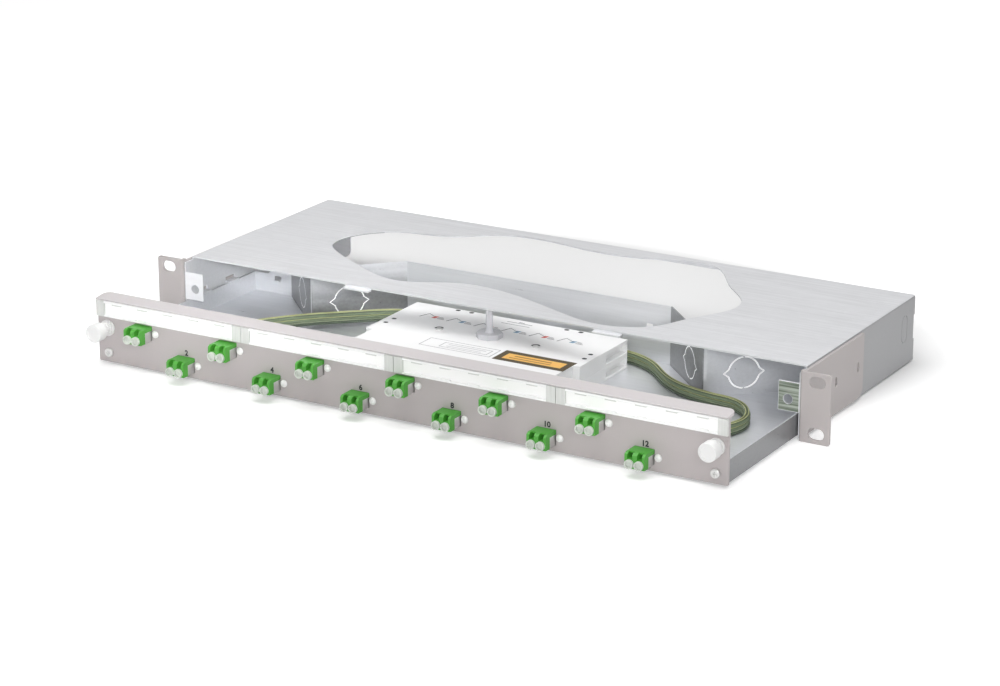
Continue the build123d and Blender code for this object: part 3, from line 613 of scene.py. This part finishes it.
def slot_cutter(x, z):
    """A chamfer over the whole width, and two key slots that run out through it."""
    work = bmesh.new()
    top = z + half_height
    before, above = adapter_front - past, top + past
    chamfer = [(before, top - 0.0019), (before, above), (adapter_front + 0.003, above)]
    slot_end = adapter_front + 0.0036
    slot = [(before, z + 0.0011), (before, above), (slot_end, above), (slot_end, z + 0.0022)]
    wedge(work, x, 0.008, chamfer)
    for side in (-1, 1):
        wedge(work, x + side * key_aside, key_half_width, slot)
    bmesh.ops.recalc_face_normals(work, faces=work.faces)
    mesh = bpy.data.meshes.new("slot_cutter")
    work.to_mesh(mesh)
    work.free()
    cutter = bpy.data.objects.new("slot_cutter", mesh)
    scene.collection.objects.link(cutter)
    return cutter


for number, (x, z) in enumerate(adapter_places, 1):
    cutter = slot_cutter(x, z)
    adapter = softened(f"adapter_{number:02d}", adapter_plastic, 0.00016, cutter=cutter)
    softened(f"dust_caps_{number:02d}", cap_plastic, 0.00015, angle=50.0)
    bpy.data.objects.remove(cutter)
print("faces of an adapter:", len(adapter.data.polygons))

# %% [markdown]
# ## Labels and screws
# A moulded holder with thin lips carries each paper card, and small screws hold the panel and the
# lid. Their edges are so fine that a bevel would hardly show, so they keep their own solids and
# only get a finish.

# %% Finish the small and thin pieces
thin = {"panel_screws": bright_steel, "lid_screws": bright_steel}
for number in range(1, 5):
    thin[f"label_holder_{number}"] = holder_plastic
    thin[f"label_card_{number}"] = card
for node, finish in thin.items():
    nodes[node].data.materials.clear()
    nodes[node].data.materials.append(finish)
print("finished as they are:", len(thin))

# %% [markdown]
# ## Rivets
# Two push rivets hold each adapter. The rivet is drawn once as a template, and a small tree of
# geometry nodes sets a copy on every vertex of a mesh of places, with a little random turn. The
# copies are made real and joined to one mesh, which then rides on the drawer like any other piece.

# %% A tree that repeats a template
def repeater_tree():
    tree = bpy.data.node_groups.new("repeat_on_places", "GeometryNodeTree")
    for name, kind in (
        ("Places", "Geometry"), ("Template", "Object"), ("Most turn", "Float"), ("Seed", "Int"),
        ("Finish", "Material"),
    ):
        tree.interface.new_socket(name, in_out="INPUT", socket_type="NodeSocket" + kind)
    tree.interface.new_socket("Pieces", in_out="OUTPUT", socket_type="NodeSocketGeometry")
    given = tree.nodes.new("NodeGroupInput")
    template = tree.nodes.new("GeometryNodeObjectInfo")
    turn = tree.nodes.new("FunctionNodeRandomValue")
    turn.data_type = "FLOAT_VECTOR"
    axis = tree.nodes.new("ShaderNodeCombineXYZ")
    least = tree.nodes.new("ShaderNodeMath")
    least.operation = "MULTIPLY"
    least.inputs[1].default_value = -1.0
    opposite = tree.nodes.new("ShaderNodeCombineXYZ")
    copies = tree.nodes.new("GeometryNodeInstanceOnPoints")
    real = tree.nodes.new("GeometryNodeRealizeInstances")
    dressed = tree.nodes.new("GeometryNodeSetMaterial")
    result = tree.nodes.new("NodeGroupOutput")
    for source, target in (
        (given.outputs["Template"], template.inputs["Object"]),
        (given.outputs["Most turn"], axis.inputs["Y"]),
        (given.outputs["Most turn"], least.inputs[0]),
        (least.outputs[0], opposite.inputs["Y"]),
        (opposite.outputs[0], turn.inputs[0]),
        (axis.outputs[0], turn.inputs[1]),
        (given.outputs["Seed"], turn.inputs["Seed"]),
        (given.outputs["Places"], copies.inputs["Points"]),
        (template.outputs["Geometry"], copies.inputs["Instance"]),
        (turn.outputs[0], copies.inputs["Rotation"]),
        (copies.outputs[0], real.inputs[0]),
        (real.outputs[0], dressed.inputs["Geometry"]),
        (given.outputs["Finish"], dressed.inputs["Material"]),
        (dressed.outputs[0], result.inputs[0]),
    ):
        tree.links.new(source, target)
    return tree


repeater = repeater_tree()
print("nodes of the repeater:", len(repeater.nodes))


# %% Repeat a template
def repeated(name, places, template, finish, most_turn=0.0, seed=1):
    """One mesh object with the template's mesh at each place."""
    spots = bpy.data.meshes.new(name + "_places")
    spots.from_pydata(places, [], [])
    carrier = bpy.data.objects.new(name, spots)
    model = bpy.data.objects.new(name + "_template", template)
    scene.collection.objects.link(carrier)
    scene.collection.objects.link(model)
    repeat = carrier.modifiers.new("repeat", "NODES")
    repeat.node_group = repeater
    values = {"Template": model, "Most turn": most_turn, "Seed": seed, "Finish": finish}
    for item in repeater.interface.items_tree:
        if item.name in values:
            repeat[item.identifier] = values[item.name]
    made = plain_mesh(carrier)
    carrier.modifiers.clear()
    carrier.data = made
    bpy.data.objects.remove(model)
    return carrier


asked = [item.name for item in repeater.interface.items_tree if item.in_out == "INPUT"]
print("the repeater takes:", asked)

# %% A rivet, with a domed and dimpled head
def turned(name, outline, sides=28):
    """A solid turned about Y from (radius, y) points, whose ends lie on the axis."""
    work = bmesh.new()
    rings = []
    for radius, y in outline:
        if radius == 0:
            rings.append([work.verts.new((0, y, 0))])
        else:
            turns = [2 * pi * k / sides for k in range(sides)]
            rings.append([work.verts.new((radius * cos(a), y, radius * sin(a))) for a in turns])
    for first, second in zip(rings, rings[1:]):
        for k in range(sides):
            after = (k + 1) % sides
            corners = [first[k % len(first)], first[after % len(first)]]
            corners += [second[after % len(second)], second[k % len(second)]]
            work.faces.new(dict.fromkeys(corners))
    bmesh.ops.recalc_face_normals(work, faces=work.faces)
    for face in work.faces:
        face.smooth = True
    mesh = bpy.data.meshes.new(name)
    work.to_mesh(mesh)
    work.free()
    return mesh


rivet_outline = [(0.0, -0.00128), (0.00045, -0.00128), (0.0007, -0.00155)]
rivet_outline += [(0.0024 * cos(radians(a)), -0.0016 * sin(radians(a))) for a in range(70, -1, -10)]
rivet_outline += [(0.0011, 0.0), (0.0011, 0.0045), (0.0, 0.0045)]
rivet = turned("rivet", rivet_outline)
print("a rivet:", len(rivet.polygons), "faces")

# %% Rivets on both sides of each adapter
aside = 0.009
rivet_places = [(x + side * aside, panel_front, z) for x, z in adapter_places for side in (-1, 1)]
rivets = repeated("rivets", rivet_places, rivet, white_plastic, most_turn=0.6, seed=7)
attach(rivets, "drawer")
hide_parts("adapter_rivets")
print("rivets:", len(rivets.data.polygons), "faces")

# %% [markdown]
# ## Print
# Ink lies on its sheet as a film too thin to see. Each printed shape is a flat mesh a few
# hundredths of a millimetre above the surface: plain numbers over the lower adapters, and on the
# cassette's lid an amber field with a dark border, thin outlined fields and a row of small marks.
# The painted shade in the lid's small slots and the painted shadow in its screws' heads are dark
# shapes of the same kind.

# %% Flat shapes
ink_lift = 0.00003


def printed(name, faces, finish, body="drawer"):
    """A print made of flat polygons, each a list of corners that runs counter-clockwise."""
    corners = [corner for face in faces for corner in face]
    starts = np.cumsum([0] + [len(face) for face in faces])
    mesh = bpy.data.meshes.new(name)
    mesh.from_pydata(corners, [], [tuple(range(a, b)) for a, b in zip(starts, starts[1:])])
    mesh.materials.append(finish)
    piece = bpy.data.objects.new(name, mesh)
    scene.collection.objects.link(piece)
    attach(piece, body)
    return piece


print("ink lies", ink_lift, "m above its sheet")

# %% Numbers over the lower adapters
number_level = base + 0.0176
digit_height = 0.0034
digit_share = 0.72  # of the letters' size


def numeral(text, x, z, height):
    """Corners of the faces of a number written with the built-in letters."""
    curve = bpy.data.curves.new("numeral", "FONT")
    curve.body = text
    curve.size = height / digit_share
    curve.align_x = "CENTER"
    curve.resolution_u = 4
    curve.offset = 0.0002
    carrier = bpy.data.objects.new("numeral", curve)
    scene.collection.objects.link(carrier)
    flat = plain_mesh(carrier)
    spots = [
        (x + vertex.co.x, panel_front - ink_lift, z + vertex.co.y - height / 2)
        for vertex in flat.vertices
    ]
    faces = [[spots[v] for v in face.vertices] for face in flat.polygons]
    if flat.polygons[0].normal.z < 0:
        faces = [face[::-1] for face in faces]
    bpy.data.objects.remove(carrier)
    bpy.data.meshes.remove(flat)
    return faces


number_faces = []
for index in range(1, 12, 2):
    x = adapter_places[index][0] + 0.0005
    number_faces += numeral(str(index + 1), x, number_level, digit_height)
numbers = printed("panel_numbers", number_faces, black_ink_and_shade)
print("numbers:", len(numbers.data.polygons), "faces")

# %% Shapes on the cassette's lid, in millimetres
lid_top = lid_height + ink_lift


def field(x0, y0, x1, y1, level=0.0):
    """A rectangle."""
    z = lid_top + level
    return [(x / 1000, y / 1000, z) for x, y in ((x0, y0), (x1, y0), (x1, y1), (x0, y1))]


def outline(x0, y0, x1, y1, line):
    """Four bars round a rectangle."""
    return [
        field(x0, y0, x1, y0 + line),
        field(x0, y1 - line, x1, y1),
        field(x0, y0 + line, x0 + line, y1 - line),
        field(x1 - line, y0 + line, x1, y1 - line),
    ]


def round_spot(x, y, wide, deep, sides=14):
    turns = [2 * pi * k / sides for k in range(sides)]
    rim = [(x + wide / 2 * cos(a), y + deep / 2 * sin(a)) for a in turns]
    return [(rim_x / 1000, rim_y / 1000, lid_top) for rim_x, rim_y in rim]


def stroke(x0, y0, x1, y1, line):
    """A leaning bar from one point to another."""
    corners = ((x0, y0), (x0 + line, y0), (x1 + line, y1), (x1, y1))
    return [(x / 1000, y / 1000, lid_top) for x, y in corners]


def crescent(x, y, inner, outer, first, last, z):
    """Part of a ring, from one angle to another in degrees."""
    return [
        [
            ((x + r * cos(radians(a))) / 1000, (y + r * sin(radians(a))) / 1000, z)
            for r, a in ((outer, turn), (outer, turn + 15), (inner, turn + 15), (inner, turn))
        ]
        for turn in range(first, last, 15)
    ]


print("lid's print at", round(lid_top, 5))

# %% Print on the cassette's lid
marks_y = 36.4
fans = []
blots = []
for step in range(6):
    x = -50.5 + 20.1 * step
    fans.append(stroke(x - 10.0, marks_y - 3.4, x - 7.4, marks_y + 4.0, 0.8))
    for mark in range(4):
        at_x, at_y = x + 1.9 * mark, marks_y - 1.1 * mark
        fans.append(stroke(at_x - 7.2, at_y + 3.6, at_x - 6.6, at_y + 5.0, 0.9))
    for row in range(3):
        row_y = marks_y + 1.5 * row
        fans.append(field(x + 2.6, row_y - 2.4, x + 8.0 - row, row_y - 1.8))
    blots.append(stroke(x - 1.7, marks_y - 2.2, x - 0.6, marks_y + 1.8, 3.0))
caption = [field(-6.3, 51.6, 12.0, 52.4), field(-8.3, 47.6, 12.3, 48.3)]
caption += [field(1.5, 53.2, 5.5, 54.2)]
frames = outline(-30.8, -15.6, 20.0, -0.4, 0.55) + outline(-18.0, -12.6, 16.4, -4.0, 0.5)
rows = [field(-14.0, -7.6, 13.0, -6.2), field(-14.0, -10.6, 11.0, -9.4)]
label_rows = [field(33.0, -7.0, 59.0, -5.4, 0.0001), field(31.0, -10.4, 60.0, -9.2, 0.0001)]
# painted shade: dark ovals over the lid's slots, and dark crescents in its screws' heads
slot_places = ((34.9, 55.8), (45.0, 55.8), (71.3, 20.5), (71.9, 11.5))
hole_shades = [round_spot(side * x, y, 3.4, 2.9) for x, y in slot_places for side in (-1, 1)]
screw_top = max(vertex.co.z for vertex in nodes["lid_screws"].data.vertices) + ink_lift
for x in (-35.0, 35.0):
    hole_shades += crescent(x, 16.0, 1.7, 2.9, 20, 215, screw_top)
prints = [
    printed(name, faces, finish)
    for name, faces, finish in (
        ("lid_border", outline(22.6, -16.8, 72.4, 1.8, 4.4), border_ink),
        ("lid_field", [field(27.0, -12.4, 68.0, -2.6)], amber_ink),
        ("lid_label_rows", label_rows, brown_ink),
        ("lid_frames", frames + caption, grey_ink),
        ("lid_rows", rows, pale_ink),
        ("lid_fans", fans, dark_ink),
        ("lid_marks_red", blots[::2], red_ink),
        ("lid_marks_blue", blots[1::2], blue_ink),
        ("lid_holes", hole_shades, black_ink_and_shade),
    )
]
print("prints:", [piece.name for piece in prints])

# %% [markdown]
# ## Painted light at the cuts, and a painted reflection on a strike plate
# The knock-outs are cut almost through, and their cuts show as bright lines of painted light, which
# glow a little. The strike plate behind the right latch carries a painted reflection of the green
# strands, in fine level lines. Both are thin films that follow the sheet: an outline on each
# slanted face of the cable entries, and a plate with a hole.

# %% Outline of a knock-out
def painted_slit_glow():
    # painted light: the outline gives off a faint glow of its own
    finish = Finish("painted_slit_glow", **{"Emission Strength": 0.5})
    glow_unevenness = finish.noise(400.0, 2.0)
    tone = finish.blend(glow_unevenness, (0.86, 0.87, 0.88), (0.97, 0.97, 0.97))
    finish.shade(Base_Color=tone, Emission_Color=tone, Roughness=0.35 + glow_unevenness * 0.1)
    return finish.material


knockout_run = 0.01768  # from the V's point to the knock-out's centre, along X and Y
knockout_centre = base + 0.0175
film_stand = 0.00104  # the sheet's thickness and a little more


def on_entry(side, face, u, v):
    """A place just before a slanted face, u along it and v up from the knock-out's centre."""
    run = knockout_run + u / 2**0.5
    lift = film_stand / 2**0.5
    x = side * entry_centre + face * (run + lift)
    return (x, entry_point + run - lift, knockout_centre + v)


def cut_line(side, face, radius=0.0103, ear=0.0031, line=0.0007, web=0.0022):
    """Quads along the cut on one face of one entry, which leaves a web above and below."""
    arc = [(radius * cos(radians(a)), radius * sin(radians(a))) for a in range(14, 167, 8)]
    ring = [(radius + ear, 0.0), *arc, (-radius - ear, 0.0)]
    shrink = 1 - line / radius
    quads = []
    for half in (1, -1):
        for (u0, v0), (u1, v1) in zip(ring, ring[1:]):
            if abs(u0 + u1) < web and v0 > radius / 2:
                continue
            corners = [(u0, v0), (u1, v1), (u1 * shrink, v1 * shrink), (u0 * shrink, v0 * shrink)]
            quads.append([on_entry(side, face, u, half * v) for u, v in corners[::half * face]])
    return quads


edges = [quad for side in (-1, 1) for face in (-1, 1) for quad in cut_line(side, face)]
glow_lines = printed("knockout_cut_edges", edges, painted_slit_glow())
print("cut edges:", len(glow_lines.data.polygons), "faces")

# %% Painted reflection of the strands on the right strike plate
def painted_strand_reflection():
    finish = Finish("painted_strand_reflection", Metallic=0.3)
    # painted reflection: level lines from dark green to pale green grey, as the strands mirrored in
    # the plate
    lines = (finish.noise(650.0, 1.0, (0.03, 0.03, 1.0)) - 0.5) * 3.0 + 0.5
    finish.shade(
        Base_Color=finish.blend(lines, (0.10, 0.13, 0.09), (0.46, 0.50, 0.44)),
        Roughness=0.42 + lines * 0.1,
    )
    return finish.material


def plate_round_hole(x0, x1, z0, z1, hole_x, hole_z, hole, y):
    """Quads from a round hole out to the edge of an upright plate."""
    turns = [radians(a) for a in range(0, 360, 15)]
    turns += [atan2(z - hole_z, x - hole_x) % (2 * pi) for x in (x0, x1) for z in (z0, z1)]
    rim, edge = [], []
    for turn in sorted(turns):
        across, up = cos(turn), sin(turn)
        level_room = (x1 if across > 0 else x0) - hole_x
        upright_room = (z1 if up > 0 else z0) - hole_z
        steps = ((level_room, across), (upright_room, up))
        reach = min(room / step for room, step in steps if abs(step) > 1e-9)
        rim.append((hole_x + hole * across, y, hole_z + hole * up))
        edge.append((hole_x + reach * across, y, hole_z + reach * up))
    quads = zip(rim, edge, edge[1:] + edge[:1], rim[1:] + rim[:1])
    return [list(quad) for quad in quads]


flange_face = 0.0018
reflection_quads = plate_round_hole(
    0.2073, 0.2203, base + 0.0171, base + 0.0347,
    hole_x=0.2133, hole_z=base + 0.0242, hole=0.0032, y=flange_face - 0.00004,
)
plate = printed("strike_rub_right", reflection_quads, painted_strand_reflection(), body="housing")
print("strike plate:", len(plate.data.polygons), "faces")

# %% [markdown]
# ## Pigtail bundles
# A pigtail is a thin fibre in a soft jacket. About a dozen run side by side from the adapters round
# the drawer into the cassettes, standing on edge like a ribbon. Each bundle's route is one NURBS
# spline. Its points, read back from Blender, carry the strands, which sit in two columns and drift
# a little up and down as real ones do.

# %% Route points, repeated from the solids, in millimetres
bundle_height = base + 0.0033 + 0.0003 + 0.004  # tray floor, clearance, half the bundle
bundle_lift = 0.0016
right_route = (
    (22, -44, 0), (66, -43, 0), (108, -45, 0), (148, -44, 0), (177, -38, 0), (194, -9, 0),
    (177, 20, 0), (146, 22, 0), (118, 33, 0), (92, 62, 0), (60, 70, 0), (33, 63, 0), (9, 47, 0),
)
left_route = (
    (-22, -44, 0), (-66, -43, 0), (-110, -45, 0), (-155, -45.3, 0), (-171.5, -29, 0),
    (-171.5, -6, 0), (-143, 23, 1), (-118, 45, 1), (-93, 66, 1), (-62, 72, 0), (-33, 63, 0),
    (-9, 47, 0),
)


def spline_points(route, steps=12):
    """Points along the one smooth line that the route's points pull on."""
    curve = bpy.data.curves.new("route", "CURVE")
    curve.dimensions = "3D"
    curve.resolution_u = steps
    spline = curve.splines.new("NURBS")
    spline.points.add(len(route) - 1)
    for point, (x, y, lift) in zip(spline.points, route):
        point.co = (x / 1000, y / 1000, bundle_height + bundle_lift * lift, 1.0)
    spline.order_u = 3
    spline.use_endpoint_u = True
    carrier = bpy.data.objects.new("route", curve)
    scene.collection.objects.link(carrier)
    line = plain_mesh(carrier)
    points = [vertex.co.copy() for vertex in line.vertices]
    bpy.data.objects.remove(carrier)
    bpy.data.meshes.remove(line)
    return points


routes = {"left": spline_points(left_route), "right": spline_points(right_route)}
bundle_lengths = {
    side: sum((b - a).length for a, b in zip(points, points[1:])) for side, points in routes.items()
}
print("bundle lengths:", {side: round(length, 4) for side, length in bundle_lengths.items()})

# %% Strand jackets
def jacket_finish():
    """Each strand's colour is an attribute of the mesh: a jacket's own colour, and on the thin
    strands a painted highlight.
    """
    finish = Finish("fibre_jackets")
    attribute = finish.node("ShaderNodeAttribute", {"attribute_name": "jacket_colour_and_highlight"})
    colour = finish.wire(attribute, "Color")
    cloud = finish.noise(260.0, 2.0)
    finish.shade(
        Base_Color=finish.blend(cloud * 0.25, colour, (0.05, 0.07, 0.04)),
        Roughness=0.36 + cloud * 0.12,
    )
    finish.bump(finish.noise(1800.0), 0.10, 0.00003)
    return finish.material


fibre_jackets = jacket_finish()
dark_green = (0.085, 0.115, 0.075)
mid_green = (0.18, 0.23, 0.14)
# pale green and yellow are painted highlights, carried by thin strands along the bundle
highlight_green = (0.36, 0.41, 0.27)
yellow_highlight = (0.48, 0.50, 0.24)
# height of the strand's centre in the stack, its diameter (both in millimetres) and its colour
strand_rows = (
    (-3.00, 1.9, dark_green),
    (-1.75, 0.7, highlight_green),
    (-0.50, 2.0, mid_green),
    (0.70, 0.6, yellow_highlight),
    (1.90, 2.0, mid_green),
    (3.15, 0.9, dark_green),
    (3.60, 0.7, yellow_highlight),
)
print("strands in a column:", len(strand_rows))

# %% Lay the strands
column_pitch = 0.0018
most_sway = 0.00012
most_drift = 0.00003


def wave(generator, run, heights, lengths):
    """A sine along the run, of random height, length and start."""
    height = generator.uniform(*heights)
    return height * np.sin(run / generator.uniform(*lengths) + generator.uniform(0, 6.3))


def bundle_mesh(name, points, seed, columns=2, sides=8):
    """Strands stacked in columns that follow the points; returns the mesh."""
    generator = np.random.default_rng(seed)
    line = np.array([list(point) for point in points])
    tangent = np.gradient(line, axis=0)
    tangent /= np.linalg.norm(tangent, axis=1)[:, None]
    across = np.cross(tangent, (0.0, 0.0, 1.0))
    across /= np.linalg.norm(across, axis=1)[:, None]
    upward = np.cross(across, tangent)
    run = np.concatenate([[0.0], np.cumsum(np.linalg.norm(np.diff(line, axis=0), axis=1))])
    turns = [2 * pi * step / sides for step in range(sides)]
    work = bmesh.new()
    shades = work.loops.layers.float_color.new("jacket_colour_and_highlight")
    for column in range(columns):
        for height, thickness, colour in strand_rows:
            strand = thickness / 1000
            drift = sum(wave(generator, run, (0.2, 0.5), (0.02, 0.06)) for _ in range(3))
            sway = generator.uniform(0.2, 0.4) * np.sin(run / 0.03 + generator.uniform(0, 6.3))
            out = (column - (columns - 1) / 2) * column_pitch + sway * most_sway
            up = height / 1000 + drift * most_drift
            rings = []
            for at in range(len(line)):
                centre = line[at] + across[at] * out[at] + upward[at] * up[at]
                offsets = [across[at] * cos(turn) + upward[at] * sin(turn) for turn in turns]
                rings.append([work.verts.new(centre + offset * strand / 2) for offset in offsets])
            made = []
            for first, second in zip(rings, rings[1:]):
                for step in range(sides):
                    after = (step + 1) % sides
                    corners = (first[step], first[after], second[after], second[step])
                    made.append(work.faces.new(corners))
            made.append(work.faces.new(tuple(reversed(rings[0]))))
            made.append(work.faces.new(rings[-1]))
            for face in made:
                face.smooth = len(face.verts) == 4
                for loop in face.loops:
                    loop[shades] = (*colour, 1.0)
    bmesh.ops.recalc_face_normals(work, faces=work.faces)
    mesh = bpy.data.meshes.new(name)
    work.to_mesh(mesh)
    work.free()
    mesh.materials.append(fibre_jackets)
    return mesh


for side, seed in (("left", 4), ("right", 9)):
    points = routes[side]
    name = "pigtail_strands_" + side
    bundle = bpy.data.objects.new(name, bundle_mesh(name, points, seed))
    scene.collection.objects.link(bundle)
    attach(bundle, "drawer")
    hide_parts("pigtail_bundle_" + side)
    print(name, len(bundle.data.polygons), "faces")

# %% [markdown]
# ## Floor and backdrop
# The floor lies under the ears' lower edges. A white background is a matter of the floor's and the
# world's own colour as the camera sees it, so more light isn't needed, and the floor still keeps
# the soft shadow that seats the panel. Under the open housing it glows less, a painted shadow, so
# that the cut-out in the cover looks onto grey.

# %% Lay the floor
painted_shadow_centre = (-0.03, 0.15)  # of the dimmer floor, in X and Y
painted_shadow_half = (0.25, 0.15)
mirrored_glow = 0.15  # what gloss and clear plastic see of the floor's glow


def floor_finish():
    finish = Finish("floor_paper", Roughness=0.9)
    mottle = finish.noise(3.0, 2.0)
    ray = finish.node("ShaderNodeLightPath")
    seen = finish.wire(ray, "Is Camera Ray")
    glossy = finish.wire(ray, "Is Glossy Ray")
    through = finish.wire(ray, "Is Transmission Ray")
    finish.shade(Base_Color=finish.blend(mottle, (0.86, 0.86, 0.86), (0.88, 0.88, 0.88)))
    across = (finish.along("X") - painted_shadow_centre[0]) * (1 / painted_shadow_half[0])
    deep = (finish.along("Y") - painted_shadow_centre[1]) * (1 / painted_shadow_half[1])
    # painted shadow: the floor's glow drops in a soft oval under and behind the housing
    painted_shadow = ((across * across + deep * deep) * -2.2 + 3.2).held(0.0, 1.0)
    far = finish.along("Y").reckon("MAXIMUM")
    to_camera = far * 0.2 + 0.30 - painted_shadow * 0.38
    strength = seen * to_camera + (glossy + through) * mirrored_glow
    glow = finish.node("ShaderNodeEmission", inputs={"Strength": strength})
    both = finish.node("ShaderNodeAddShader")
    finish.tree.links.new(finish.shader.outputs[0], both.inputs[0])
    finish.tree.links.new(glow.outputs[0], both.inputs[1])
    finish.feed(finish.output.inputs["Surface"], finish.wire(both))
    return finish.material


floor_mesh = bpy.data.meshes.new("floor")
floor_level = base - 0.000075
reach = 8
corners = ((-reach, -reach), (reach, -reach), (reach, reach), (-reach, reach))
floor_mesh.from_pydata([(x, y, floor_level) for x, y in corners], [], [(0, 1, 2, 3)])
floor_mesh.materials.append(floor_finish())
floor = bpy.data.objects.new("floor", floor_mesh)
scene.collection.objects.link(floor)
print("floor at", round(floor_level, 4))

# %% The world and the view
world = bpy.data.worlds.new("world")
scene.world = world
world.use_nodes = True
tree = world.node_tree
tree.nodes.clear()
light_path = tree.nodes.new("ShaderNodeLightPath")
seen = Wire(tree, light_path.outputs["Is Camera Ray"])
glossy = Wire(tree, light_path.outputs["Is Glossy Ray"])
through = Wire(tree, light_path.outputs["Is Transmission Ray"])
sky = tree.nodes.new("ShaderNodeBackground")
sky.inputs["Color"].default_value = (1.0, 1.0, 1.0, 1.0)
even_light = 0.30
more_in_gloss = 0.2
more_through_clear = 0.5
extra = seen * (1.0 - even_light) + glossy * more_in_gloss + through * more_through_clear
tree.links.new((extra + even_light).socket, sky.inputs["Strength"])
world_output = tree.nodes.new("ShaderNodeOutputWorld")
tree.links.new(sky.outputs[0], world_output.inputs["Surface"])
scene.view_settings.view_transform = "Standard"
print("even light:", even_light)

# %% [markdown]
# ## Sizes
# Rounding an edge takes a little away, and nothing should reach further out.
